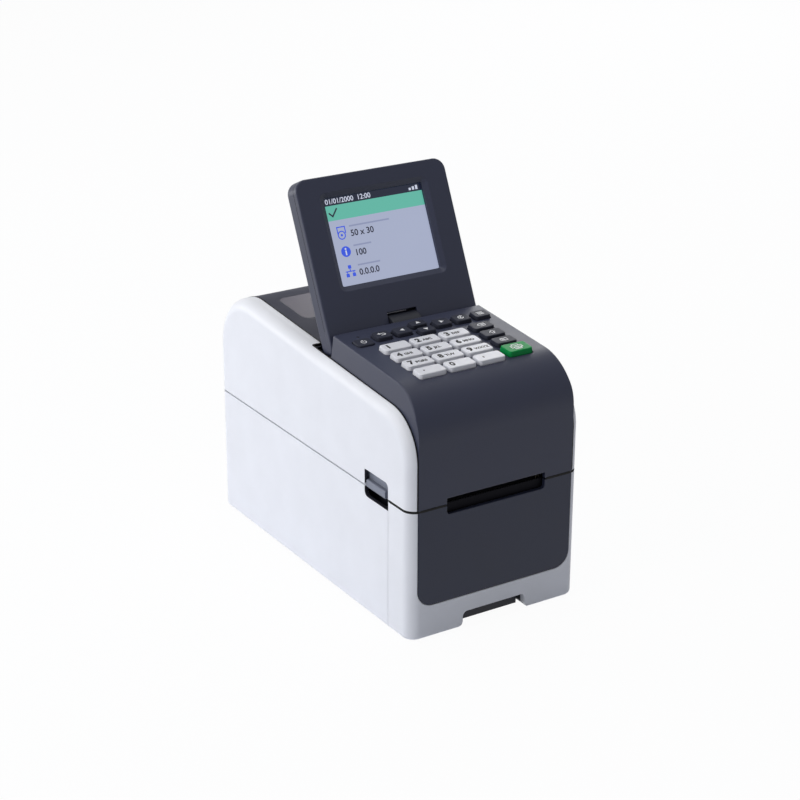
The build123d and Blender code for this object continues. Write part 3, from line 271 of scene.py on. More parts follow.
def moulded(name, tint, roughness, depth=0.00002, coat=0.0, edge_highlight_level=1.3, gloss=0.3):
    """Moulded plastic: eroded grain, faint flow marks, edges polished a little by handling to a lower
    roughness, and a painted highlight that lightens the colour along sharp edges.
    """
    finish = Finish(name)
    fine = finish.noise(MOULD_GRAIN)
    flow = finish.noise(grain=0.02, detail=3.0)
    soft, painted_edge_highlight = finish.edges(MOULD_EDGE)
    ground = finish.mix(flow, rgba(tint, 0.95), rgba(tint, 1.04))
    finish.surface(
        # Painted highlight: the colour is lightened along sharp edges by the edge mask.
        base_color=finish.mix(painted_edge_highlight * 0.7, ground, rgba(tint, edge_highlight_level)),
        roughness=roughness + (flow - 0.5) * 0.14 + (fine - 0.5) * 0.08 - painted_edge_highlight * 0.12,
        coat_weight=coat,
        coat_roughness=0.2,
        specular_ior_level=gloss,
    )
    finish.relief(fine, depth, strength=0.55, normal=soft)
    return finish.material


def brushed(name, tint, roughness, run):
    """Brushed or drawn metal with its scratches along one axis."""
    finish = Finish(name)
    stretch = [1, 1, 1]
    stretch["xyz".index(run)] = SCRATCH_LENGTH
    lines = finish.noise(grain=0.00025, detail=3.0, stretch=stretch)
    cloud = finish.noise(grain=0.012, detail=3.0)
    soft, painted_edge_highlight = finish.edges(METAL_EDGE)
    ground = finish.mix(lines, rgba(tint, 0.82), rgba(tint, 1.06))
    finish.surface(
        # Painted highlight: the colour is lightened along sharp edges by the edge mask.
        base_color=finish.mix(painted_edge_highlight * 0.6, ground, rgba(tint, 1.12)),
        metallic=1.0,
        roughness=roughness + (lines - 0.5) * 0.18 + (cloud - 0.5) * 0.12,
    )
    finish.relief(lines, depth=0.00001, strength=0.5, normal=soft)
    return finish.material


def rubbery(name, tint):
    """Matt rubber with a ground, slightly dusty skin."""
    finish = Finish(name)
    fine = finish.noise(grain=0.0003, detail=3.0)
    dust = finish.noise(grain=0.006, detail=4.0)
    soft, painted_edge_highlight = finish.edges(RUBBER_EDGE)
    ground = finish.mix(dust, rgba(tint, 0.85), rgba(tint, 1.35))
    finish.surface(
        # Painted highlight: the colour is lightened along sharp edges by the edge mask.
        base_color=finish.mix(painted_edge_highlight * 0.5, ground, rgba(tint, 1.7)),
        roughness=0.78 + (dust - 0.5) * 0.16,
        specular_ior_level=0.3,
    )
    finish.relief(fine, depth=0.00004, strength=0.6, normal=soft)
    return finish.material


def solder_mask(name, tint):
    """Circuit board with copper tracks showing through the lacquer."""
    finish = Finish(name)
    tracks = finish.node(
        "ShaderNodeTexBrick",
        {"offset": 0.37, "squash": 1.6},
        {
            "Vector": finish.place, "Scale": 260.0, "Mortar Size": 0.05,
            "Color1": rgba(BLACK), "Color2": rgba(BLACK), "Mortar": rgba(WHITE),
        },
        1,
    )
    cloud = finish.noise(grain=0.004, detail=2.0)
    lacquer = finish.mix(cloud, rgba(tint, 0.85), rgba(tint, 1.1))
    finish.surface(
        base_color=finish.mix(tracks * 0.55, lacquer, rgba(tint, 1.9)),
        roughness=0.34 + cloud * 0.12,
    )
    finish.relief(tracks, depth=0.00003, strength=0.6)
    return finish.material


def smoked(name, tint):
    """Smoked clear plastic with a faint haze."""
    finish = Finish(name)
    haze = finish.noise(grain=0.02, detail=2.0)
    finish.surface(
        base_color=finish.mix(haze, rgba(tint, 0.94), rgba(tint, 1.06)),
        roughness=0.2 + haze * 0.06,
        alpha=0.965 + haze * 0.02,
        specular_ior_level=0.1,
    )
    return finish.material


def printed(name, tint):
    """Screen-printed ink, a little uneven."""
    finish = Finish(name)
    body = finish.noise(grain=0.0002, detail=3.0)
    finish.surface(
        base_color=finish.mix(body, rgba(tint, 0.88), rgba(tint, 1.05)),
        roughness=0.45 + body * 0.15,
    )
    finish.relief(body, depth=0.00001, strength=0.4)
    return finish.material


def lit(name, tint):
    """Lit part of the display: the glow of its cells behind a clear front."""
    finish = Finish(name)
    cells = finish.node(
        "ShaderNodeTexChecker",
        {},
        {"Vector": finish.place, "Scale": 5000.0, "Color1": rgba(WHITE), "Color2": rgba(BLACK)},
        1,
    )
    glow = finish.noise(grain=0.03, detail=1.0)
    finish.surface(
        base_color=rgba(tint, 0.06),
        emission_color=finish.mix(cells * 0.35 + glow * 0.4, rgba(tint, 1.0), rgba(tint, 0.9)),
        emission_strength=0.95,
        roughness=0.16 + (glow - 0.5) * 0.05,
        specular_ior_level=0.35,
    )
    return finish.material


FLATNESS = 0.02
DISC_HOLE = 0.001
FULL_TURN = 2 * pi
FONT_STEPS = 4
PRINT_SUNK = 0.01
PRINT_THICKNESS = 0.05


def dress(material, *names):
    """Give CAD nodes one finish."""
    for name in names:
        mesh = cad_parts[name].data
        mesh.materials.clear()
        mesh.materials.append(material)


def outer_face(node, normal):
    """Middle and half width of a node's outermost face along a direction."""
    up = normal.cross(RIGHT).normalized()
    points = [corner.co.copy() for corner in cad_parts[node].data.vertices]
    top = max(point.dot(normal) for point in points)
    crown = [point for point in points if point.dot(normal) > top - FLATNESS * MM]
    across = [point.dot(RIGHT) for point in crown]
    rise = [point.dot(up) for point in crown]
    middle = RIGHT * (min(across) + max(across)) / 2 + up * (min(rise) + max(rise)) / 2 + normal * top
    return middle, (max(across) - min(across)) / 2


class Print:
    """Flat shapes in millimetres on a plane, raised into a thin closed layer."""

    def __init__(self, name, middle, normal):
        self.name = name
        self.mesh = bmesh.new()
        up = normal.cross(RIGHT).normalized()
        axes = Matrix((RIGHT, up, normal)).transposed().to_4x4()
        self.matrix = Matrix.Translation(middle) @ axes

    def outline(self, points):
        """One filled outline."""
        corners = [self.mesh.verts.new((x * MM, y * MM, 0)) for x, y in points]
        self.mesh.faces.new(corners)

    def box(self, x, y, width, height):
        """Filled rectangle about its middle."""
        left, right = x - width / 2, x + width / 2
        low, high = y - height / 2, y + height / 2
        self.outline([(left, low), (right, low), (right, high), (left, high)])

    def disc(self, x, y, radius):
        """Filled round."""
        self.ring(x, y, radius, radius)

    def ring(self, x, y, radius, width, start=0.0, sweep=FULL_TURN, steps=32):
        """Band along an arc, with its width measured inwards."""
        inner = max(radius - width, DISC_HOLE)
        rows = []
        closed = sweep == FULL_TURN
        for index in range(steps if closed else steps + 1):
            angle = start + sweep * index / steps
            rows.append(
                [
                    self.mesh.verts.new(((x + size * cos(angle)) * MM, (y + size * sin(angle)) * MM, 0))
                    for size in (inner, radius)
                ]
            )
        pairs = zip(rows, rows[1:] + rows[:1]) if closed else zip(rows, rows[1:])
        for first, second in pairs:
            self.mesh.faces.new((first[0], first[1], second[1], second[0]))

    def stroke(self, points, width):
        """Straight runs of one width, each with square ends that fill the corners."""
        for (ax, ay), (bx, by) in zip(points, points[1:]):
            along = Vector((bx - ax, by - ay)).normalized() * width / 2
            side = Vector((-along.y, along.x))
            ends = (Vector((ax, ay)) - along, Vector((bx, by)) + along)
            self.outline(
                [tuple(ends[0] - side), tuple(ends[1] - side), tuple(ends[1] + side), tuple(ends[0] + side)]
            )

    def figures(self, words, x, y, size, align="CENTER", bold=0.0):
        """Digits and signs in the plain built-in face, centred on their height."""
        curve = bpy.data.curves.new("figures", "FONT")
        curve.body = words
        curve.size = size * MM
        curve.offset = bold * MM
        curve.align_x = align
        curve.align_y = "CENTER"
        curve.resolution_u = FONT_STEPS
        holder = bpy.data.objects.new("figures", curve)
        flat = bpy.data.meshes.new_from_object(holder)
        flat.transform(Matrix.Translation((x * MM, y * MM, 0)))
        self.mesh.from_mesh(flat)
        bpy.data.objects.remove(holder)
        bpy.data.curves.remove(curve)
        bpy.data.meshes.remove(flat)

    def finish(self, material, body, slot, thickness=PRINT_THICKNESS):
        """Raise the shapes, place them and let them ride on a body."""
        bmesh.ops.recalc_face_normals(self.mesh, faces=self.mesh.faces)
        for face in self.mesh.faces:
            if face.normal.z < 0:
                face.normal_flip()
        raised = bmesh.ops.extrude_face_region(self.mesh, geom=self.mesh.faces[:])
        corners = [part for part in raised["geom"] if isinstance(part, bmesh.types.BMVert)]
        bmesh.ops.translate(self.mesh, verts=corners, vec=(0, 0, thickness * MM))
        bmesh.ops.translate(self.mesh, verts=self.mesh.verts, vec=(0, 0, -PRINT_SUNK * MM))
        bmesh.ops.recalc_face_normals(self.mesh, faces=self.mesh.faces)
        data = bpy.data.meshes.new(self.name)
        self.mesh.to_mesh(data)
        self.mesh.free()
        data.transform(self.matrix)
        data.materials.append(material)
        piece = bpy.data.objects.new(self.name, data)
        bpy.context.scene.collection.objects.link(piece)
        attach(piece, body)


# Gaps and edges that the dark strips of painted shade follow, in millimetres of the frame.
FRONT_Y = -105.5
REAR_Y = 105.5
SHOULDER_FRONT = 127.8
FRONT_ARC = 27.0
REAR_ARC = 34.0
REAR_LOW = 109.0
COVER_LOW = 78.0
CONSOLE_SEAM = 49.85
REAR_SEAM = 44.25
JOG_Y = 2.35
SEAM_HALF = 0.34
SEAM_DEPTH = 1.5
FRONT_SUNK = 0.2
REAR_SUNK = -0.15
SPLIT_Z = 76.8
SPLIT_HALF = 0.47
SPLIT_END = -85.0
SPLIT_SLOT = 32.5
SPLIT_CORNER = 7.0
SHADE_BAND_HALF = 0.72
SHADE_BAND_RAISED = 0.04
SHADE_BAND_DEPTH = 0.03
DISPLAY_PIVOT = Vector((0, -9.8, 138.2))
DISPLAY_SEAM = 2.5
DISPLAY_HALF = 48.6
DISPLAY_CORNER = 7.0
DISPLAY_FOOT = 8.0
PARTING_HALF = 0.16
PARTING_RAISED = 0.03
LATCH_REAR = -60.5
LATCH_FRONT = -84.1
LATCH_BOTTOM = 70.6
LATCH_TOP = 86.4
LATCH_CORNER = 3.0
CASE_HIGH = 76.2
# Places of the dark sheets of painted shade in the latch openings and behind the grip notch.
LATCH_SHADE_X = (52.6, 54.9)
LATCH_SHADE_RAISED = (0.01, 0.12)
GRIP_SHADE_BOX = ((-20.3, 20.3), (-97.5, -86.0), (1.2, 10.9))
SHOULDER_STEPS = 16
CORNER_STEPS = 8
LATCH_STEPS = 6
SIDES = (-1, 1)


def oblong(first, second):
    """The four corners of an oblong between two pairs of limits, in order round it."""
    return (first[0], second[0]), (first[1], second[0]), (first[1], second[1]), (first[0], second[1])


def strip_corners(sunk, depth=SEAM_DEPTH):
    """Depth and side of a strip's four corners."""
    deep = sunk + depth
    return ((sunk, -1), (sunk, 1), (deep, 1), (deep, -1))


def round_run(middle, radius, sweep, steps, way=(1, 1)):
    """Points and outward normals along an arc, with each axis turned round where way is negative."""
    run = []
    for step in range(steps + 1):
        angle = sweep * step / steps
        normal = (way[0] * cos(angle), way[1] * sin(angle))
        run.append(((middle[0] + radius * normal[0], middle[1] + radius * normal[1]), normal))
    return run


def shoulder(y):
    """Height of the cover's shoulder line in millimetres."""
    return SHOULDER_FRONT + tan(KEYPAD_SLOPE) * (y - FRONT_Y)


def shoulder_run(end_y, arc, low):
    """Points and outward normals along one half of the shoulder, from its foot round the arc to the jog."""
    outward = -1 if end_y < 0 else 1
    middle_y = end_y - outward * arc
    middle_z = shoulder(middle_y) - arc / cos(KEYPAD_SLOPE)
    sweep = pi / 2 + outward * KEYPAD_SLOPE
    slope_normal = (-sin(KEYPAD_SLOPE), cos(KEYPAD_SLOPE))
    return [
        ((end_y, low), (outward, 0)),
        *round_run((middle_y, middle_z), arc, sweep, SHOULDER_STEPS, (outward, 1)),
        ((JOG_Y, shoulder(JOG_Y)), slope_normal),
    ]


def split_run(side):
    """Points and outward normals along the front part of the split, from the latch to the label slot."""
    half = cad_high.x / MM
    middle = (side * (half - SPLIT_CORNER), FRONT_Y + SPLIT_CORNER)
    return [
        ((side * half, SPLIT_END), (side, 0)),
        *round_run(middle, SPLIT_CORNER, pi / 2, CORNER_STEPS, (side, -1)),
        ((side * SPLIT_SLOT, FRONT_Y), (0, -1)),
    ]


class PRINTER_OT_shell(bpy.types.Operator):
    """Finish the case, cover, console and display housings"""

    bl_idname = "printer.shell"
    bl_label = "Shell"

    def execute(self, context):
        tints = context.scene.printer_colours
        white = moulded("white_shell", tints.white, roughness=0.46, edge_highlight_level=1.05, gloss=0.4)
        dress(white, "lower_case", "front_bezel", "cover_frame")
        charcoal = moulded("charcoal_shell", tints.charcoal, roughness=0.42, gloss=0.34)
        dress(charcoal, "console_housing", "display_bezel", "display_back")
        dress(moulded("rear_satin", tints.rear, roughness=0.5, depth=0.000006, gloss=0.1), "rear_panel")
        dress(moulded("front_panel", tints.panel, roughness=0.36), "front_panel")
        dress(moulded("hinge_block", tints.black, roughness=0.4), "hinge_knuckle")
        dress(moulded("latch", tints.latch, roughness=0.44), "latch_lever")
        dress(smoked("smoked_window", tints.smoke), "smoked_window")
        dress(rubbery("foot_rubber", tints.rubber), "rubber_feet")
        # Painted shade: near-black strips in the seams, and the black moulding colour as dark sheets in the
        # latch openings and grip notch.
        self.seams(rubbery("seam_black", PAINTED_SHADE_BLACK), moulded("dark_liner", tints.black, roughness=0.5))
        return {"FINISHED"}

    def seams(self, black, dark):
        """Black strips of painted shade in the gaps between the white cover, the dark pieces and the case and
        along the display's parting line, and dark sheets of painted shade lining the latch openings and the
        back of the grip notch.
        """
        cover_strips = []
        case_strips = []
        for side in SIDES:
            for end_y, arc, low, x, sunk in (
                (FRONT_Y, FRONT_ARC, COVER_LOW, CONSOLE_SEAM, FRONT_SUNK),
                (REAR_Y, REAR_ARC, REAR_LOW, REAR_SEAM, REAR_SUNK),
            ):
                cover_strips.append(
                    [
                        [
                            (side * x + edge * SEAM_HALF, y - deep * normal_y, z - deep * normal_z)
                            for deep, edge in strip_corners(sunk)
                        ]
                        for (y, z), (normal_y, normal_z) in shoulder_run(end_y, arc, low)
                    ]
                )
            jog_corners = strip_corners(REAR_SUNK)
            jog = [(JOG_Y + edge * SEAM_HALF, shoulder(JOG_Y) - deep) for deep, edge in jog_corners]
            cover_strips.append([[(side * x, *point) for point in jog] for x in (REAR_SEAM, CONSOLE_SEAM)])
            shade_band = strip_corners(-SHADE_BAND_RAISED, SHADE_BAND_DEPTH)
            for half, corners in ((SPLIT_HALF, strip_corners(0)), (SHADE_BAND_HALF, shade_band)):
                case_strips.append(
                    [
                        [
                            (x - deep * normal_x, y - deep * normal_y, SPLIT_Z + edge * half)
                            for deep, edge in corners
                        ]
                        for (x, y), (normal_x, normal_y) in split_run(side)
                    ]
                )
        self.strips("cover_seams", cover_strips, black, "cover")
        self.strips("case_seam", case_strips, black, "base")
        self.strips("display_parting", [self.parting_rows()], black, "display")
        # Dark sheets of painted shade in the latch openings and behind the grip notch, where the recesses
        # fall into shade.
        self.strips("cover_latch_liner", [self.latch_shade_rows(side, True) for side in SIDES], dark, "cover")
        self.strips("case_latch_liner", [self.latch_shade_rows(side, False) for side in SIDES], dark, "base")
        across, along, rise = GRIP_SHADE_BOX
        grip_back = [[(x, y, z) for y, z in oblong(along, rise)] for x in across]
        self.strips("grip_back", [grip_back], dark, "base")

    @staticmethod
    def latch_shade_rows(side, upper):
        """Corners of the dark sheet of painted shade in a latch opening: along its rear edge, and below the
        split along its floor.
        """
        if upper:
            run = [((LATCH_REAR, z), (1, 0)) for z in (COVER_LOW, LATCH_TOP)]
        else:
            middle = (LATCH_REAR - LATCH_CORNER, LATCH_BOTTOM + LATCH_CORNER)
            run = [
                ((LATCH_REAR, CASE_HIGH), (1, 0)),
                *round_run(middle, LATCH_CORNER, -pi / 2, LATCH_STEPS),
                ((LATCH_FRONT, LATCH_BOTTOM), (0, -1)),
            ]
        corners = oblong(LATCH_SHADE_X, LATCH_SHADE_RAISED)
        return [
            [(side * x, y - raised * normal_y, z - raised * normal_z) for x, raised in corners]
            for (y, z), (normal_y, normal_z) in run
        ]

    @staticmethod
    def parting_rows():
        """Corners of the fine black line of painted shade between the display's bezel and back, up one side
        and down the other.
        """
        up = SCREEN_NORMAL.cross(RIGHT)
        crown = max(corner.co.dot(up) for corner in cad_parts["display_bezel"].data.vertices) / MM
        top = crown - DISPLAY_PIVOT.dot(up)
        rows = []
        for side in SIDES:
            middle = (side * (DISPLAY_HALF - DISPLAY_CORNER), top - DISPLAY_CORNER)
            run = [
                ((side * DISPLAY_HALF, DISPLAY_FOOT), (side, 0)),
                *round_run(middle, DISPLAY_CORNER, pi / 2, CORNER_STEPS, (side, 1)),
            ]
            for (across, rise), (normal_x, normal_up) in run if side < 0 else reversed(run):
                rows.append(
                    [
                        DISPLAY_PIVOT
                        + RIGHT * (across - deep * normal_x)
                        + up * (rise - deep * normal_up)
                        + SCREEN_NORMAL * (DISPLAY_SEAM + edge * PARTING_HALF)
                        for deep, edge in strip_corners(-PARTING_RAISED)
                    ]
                )
        return rows

    @staticmethod
    def strips(name, runs, material, body):
        """Closed bars through rows of four corners."""
        mesh = bmesh.new()
        for rows in runs:
            corners = [[mesh.verts.new(Vector(point) * MM) for point in row] for row in rows]
            for first, second in zip(corners, corners[1:]):
                for index in range(4):
                    following = (index + 1) % 4
                    mesh.faces.new((first[index], first[following], second[following], second[index]))
            mesh.faces.new(corners[0])
            mesh.faces.new(corners[-1])
        bmesh.ops.recalc_face_normals(mesh, faces=mesh.faces)
        data = bpy.data.meshes.new(name)
        mesh.to_mesh(data)
        mesh.free()
        data.materials.append(material)
        piece = bpy.data.objects.new(name, data)
        bpy.context.scene.collection.objects.link(piece)
        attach(piece, body)


class PRINTER_OT_mechanism(bpy.types.Operator):
    """Finish the feed, guides, boards and other inner pieces"""

    bl_idname = "printer.mechanism"
    bl_label = "Mechanism"

    def execute(self, context):
        tints = context.scene.printer_colours
        tray_black = moulded("black_moulding", tints.black, roughness=0.5)
        dress(tray_black, "media_tray", "guide_left", "guide_right")
        dress(moulded("black_block", tints.black, roughness=0.36), "media_sensor", "dc_jack")
        plain_steel = brushed("plain_steel", tints.steel, roughness=0.34, run="z")
        dress(plain_steel, "mech_frame", "drive_motor", "data_ports")
        dress(brushed("cut_steel", tints.steel, roughness=0.26, run="x"), "platen_shaft", "base_screws")
        dress(brushed("blackened_steel", BLACKENED_STEEL, roughness=0.5, run="x"), "tear_bar")
        pin_steel = brushed("pin_steel", tints.steel, roughness=0.24, run="x")
        dress(pin_steel, "cover_hinge_pins", "display_hinge_pin")
        dress(brushed("cast_bracket", CAST_METAL, roughness=0.42, run="x"), "head_bracket")
        dress(brushed("cut_brass", BRASS, roughness=0.3, run="x"), "motor_pinion")
        dress(moulded("natural_plastic", tints.natural, roughness=0.4, coat=0.1), "idler_gear", "platen_gear")
        dress(moulded("bush_plastic", tints.natural, roughness=0.46), "guide_pinion", "platen_bushes")
        dress(moulded("head_ceramic", CERAMIC, roughness=0.3), "print_head")
        dress(rubbery("platen_rubber", tints.rubber), "platen_roller")
        dress(solder_mask("board", tints.board), "main_board", "keypad_board")
        return {"FINISHED"}


DIGIT_KEYS = {
    "key_1": ("1", ""), "key_2": ("2", "ABC"), "key_3": ("3", "DEF"),
    "key_4": ("4", "GHI"), "key_5": ("5", "JKL"), "key_6": ("6", "MNO"),
    "key_7": ("7", "PQRS"), "key_8": ("8", "TUV"), "key_9": ("9", "WXYZ"),
    "key_0": ("0", ""), "key_point": (".", ""), "key_comma": (",", ""),
}


ARROW_SIZE = 1.5
THIN_LINE = 0.4
FINE_LINE = 0.42
ROUND_LINE = 0.44
BAR_LINE = 0.46
BOLD_LINE = 0.52
TEXT_LINE = 0.38
RING_STEPS = 28
TURN_STEPS = 16


def arrow(mark, turn):
    """Filled triangle pointing to the right, turned by quarter turns."""
    tail, half = -0.7 * ARROW_SIZE, 0.95 * ARROW_SIZE
    points = [(ARROW_SIZE, 0), (tail, half), (tail, -half)]
    for _ in range(turn):
        points = [(-y, x) for x, y in points]
    mark.outline(points)


def power_sign(mark):
    """Open ring with an upright bar."""
    mark.ring(0, -0.15, 1.5, ROUND_LINE, radians(125), radians(290), RING_STEPS)
    mark.stroke([(0, 0.25), (0, 1.6)], BAR_LINE)


def back_sign(mark):
    """Arrow that turns back to the left."""
    mark.outline([(-2.2, 0.75), (-0.9, 1.7), (-0.9, -0.2)])
    mark.stroke([(-0.9, 0.75), (0.8, 0.75)], BOLD_LINE)
    mark.ring(0.8, -0.13, 1.14, BOLD_LINE, -pi / 2, pi, TURN_STEPS)
    mark.stroke([(0.8, -1.01), (-0.7, -1.01)], BOLD_LINE)


def feed_sign(mark):
    """Roll with an arrow round it."""
    mark.ring(-0.2, -0.1, 1.55, ROUND_LINE, radians(60), radians(300), RING_STEPS)
    mark.disc(-0.2, -0.1, 0.5)
    mark.outline([(0.2, 1.95), (1.55, 1.2), (0.2, 0.5)])


def menu_sign(mark):
    """Three bars."""
    for row in (-1.05, 0, 1.05):
        mark.box(0, row, 3.4, BOLD_LINE)


def erase_sign(mark):
    """Tag pointing to the left with a cross in it."""
    mark.stroke(
        [(-2.1, 0), (-0.9, 1.25), (1.9, 1.25), (1.9, -1.25), (-0.9, -1.25), (-2.1, 0)], FINE_LINE
    )
    for low in (-0.5, 0.5):
        mark.stroke([(-0.25, -low), (0.95, low)], FINE_LINE)


def shift_sign(mark):
    """Outline of an upright arrow."""
    half = [(0, 1.5), (1.5, 0.1), (0.6, 0.1), (0.6, -1.4)]
    mark.stroke(half + [(-x, y) for x, y in reversed(half)], THIN_LINE)


def paper_sign(mark):
    """Sheet with two lines of text."""
    mark.stroke([(-1.8, -1.1), (1.8, -1.1), (1.8, 1.1), (-1.8, 1.1), (-1.8, -1.1)], THIN_LINE)
    for row in (0.3, -0.4):
        mark.box(-0.3, row, 1.9, TEXT_LINE)


def print_sign(mark):
    """Printer with paper above and a printed sheet below."""
    mark.stroke([(-1.7, 1.0), (-1.7, 2.4), (1.7, 2.4), (1.7, 1.0)], BOLD_LINE)
    mark.stroke(
        [(-1.9, -1.0), (-2.9, -1.0), (-2.9, 0.95), (2.9, 0.95), (2.9, -1.0), (1.9, -1.0)], BOLD_LINE
    )
    mark.stroke([(-1.7, -0.3), (1.7, -0.3), (1.7, -2.4), (-1.7, -2.4), (-1.7, -0.3)], BOLD_LINE)
    for row in (-1.1, -1.8):
        mark.box(0, row, 2.0, THIN_LINE)


SIGN_KEYS = {
    "key_power": power_sign, "key_back": back_sign, "key_feed": feed_sign, "key_menu": menu_sign,
    "key_erase": erase_sign, "key_shift": shift_sign, "key_paper": paper_sign, "key_print": print_sign,
}
ARROW_KEYS = {"key_right": 0, "key_up": 1, "key_left": 2, "key_down": 3}
SIGN_SCALE = 1.15
DIGIT_COLUMN, DIGIT_SIZE, DIGIT_BOLD = 3.4, 5.6, 0.28
LETTER_COLUMN, LETTER_LEVEL, LETTER_SIZE, LETTER_BOLD = 6.1, -0.5, 3.0, 0.12
POINT_COLUMN, POINT_LEVEL, POINT_RADIUS = 4.4, 0.1, 0.55
COMMA_TAIL = ((4.95, 0.1), (4.3, -1.2), (4.0, -1.0), (4.3, 0.1))
LAMP_PLACE = (-37.0, -24.6)
LAMP_RADIUS = 0.75
LAMP_THICKNESS = 0.2


class PRINTER_OT_keys(bpy.types.Operator):
    """Finish the keys and print their digits and symbols"""

    bl_idname = "printer.keys"
    bl_label = "Keys"

    def execute(self, context):
        tints = context.scene.printer_colours
        dark = moulded("dark_keys", tints.dark_key, roughness=0.5, gloss=0.14)
        dress(dark, *ARROW_KEYS, *[name for name in SIGN_KEYS if name != "key_print"])
        dress(moulded("white_keys", tints.white_key, roughness=0.44, edge_highlight_level=1.04), *DIGIT_KEYS)
        dress(moulded("green_key", tints.green_key, roughness=0.46, gloss=0.14), "key_print")
        ink = printed("dark_ink", tints.ink)
        paint = printed("white_ink", tints.paint)
        for name, (digit, letters) in DIGIT_KEYS.items():
            middle, half_width = outer_face(name, KEYPAD_NORMAL)
            mark = Print(name + "_legend", middle, KEYPAD_NORMAL)
            left = -half_width / MM
            if digit.isdigit():
                mark.figures(digit, left + DIGIT_COLUMN, 0, DIGIT_SIZE, bold=DIGIT_BOLD)
            else:
                mark.disc(left + POINT_COLUMN, POINT_LEVEL, POINT_RADIUS)
            if digit == ",":
                mark.outline([(left + x, y) for x, y in COMMA_TAIL])
            if letters:
                mark.figures(letters, left + LETTER_COLUMN, LETTER_LEVEL, LETTER_SIZE, "LEFT", LETTER_BOLD)
            mark.finish(ink, name, "white_key")
        for name, draw in SIGN_KEYS.items():
            mark = Print(name + "_legend", outer_face(name, KEYPAD_NORMAL)[0], KEYPAD_NORMAL)
            draw(mark)
            mark.matrix = mark.matrix @ Matrix.Diagonal((SIGN_SCALE, SIGN_SCALE, 1, 1))
            mark.finish(paint, name, "green_key" if name == "key_print" else "dark_key")
        self.lamp(tints)
        for name, turn in ARROW_KEYS.items():
            mark = Print(name + "_legend", outer_face(name, KEYPAD_NORMAL)[0], KEYPAD_NORMAL)
            arrow(mark, turn)
            mark.finish(paint, name, "dark_key")
        return {"FINISHED"}

    @staticmethod
    def lamp(tints):
        """Small status lamp behind the power key."""
        height = outer_face("console_housing", KEYPAD_NORMAL)[0].dot(KEYPAD_NORMAL)
        x, y = LAMP_PLACE
        z = (height - KEYPAD_NORMAL.y * y * MM) / KEYPAD_NORMAL.z
        lens = Print("status_lamp", Vector((x * MM, y * MM, z)), KEYPAD_NORMAL)
        lens.disc(0, 0, LAMP_RADIUS)
        clear = moulded("lamp_lens", tints.black, roughness=0.2, coat=0.5)
        lens.finish(clear, "cover", "dark_plastic", LAMP_THICKNESS)


LCD_WIDTH = 64.0
LCD_HEIGHT = 49.5
BAR_HEIGHT = 4.3
BAND_HEIGHT = 8.4
ICON_COLUMN = 7.6
TEXT_COLUMN = 13.0
ROWS = (19.6, 30.6, 41.6)
CLOCK_MARGIN, CLOCK_SIZE, CLOCK_BOLD = 1.4, 4.0, 0.04
SIGNAL_MARGIN, SIGNAL_PITCH, SIGNAL_WIDTH, SIGNAL_HEIGHT, SIGNAL_STEP = 3.0, 2.2, 1.4, 2.4, 0.5
TICK = ((2.6, 0), (4.4, -1.8), (7.6, 2.1))
TICK_LINE = 0.85
FIGURES = ("50 x 30", "100", "0.0.0.0")
FIGURE_DROP, FIGURE_SIZE, FIGURE_BOLD = 1.6, 4.9, 0.09
CAPTIONS = (26.0, 11.5, 14.5)
CAPTION_RISE, CAPTION_LINE = 2.6, 0.9
ROLL_PLACE = (-0.3, -1.7)
ROLL_RADIUS, ROLL_LINE, ROLL_CORE = 2.5, 0.6, 0.7
ROLL_SHEET = ((-2.5, -1.2), (-2.5, 2.9), (2.4, 2.9), (2.4, -0.6))
NOTE_RADIUS = 3.0
NOTE_DOT = (1.5, 0.55)
NOTE_STEM = (-0.7, 0.85, 2.6)
WIRE = 0.55
NET_BOX = (2.0, 1.9)
NET_BOXES = ((0, 2.4), (-2.0, -2.2), (2.0, -2.2))
NET_WIRES = ((0, -0.1, 6.2, WIRE), (0, 1.0, WIRE, 1.9), (-2.0, -0.8, WIRE, 1.3), (2.0, -0.8, WIRE, 1.3))
SECOND_LAYER, THIRD_LAYER = 0.09, 0.13


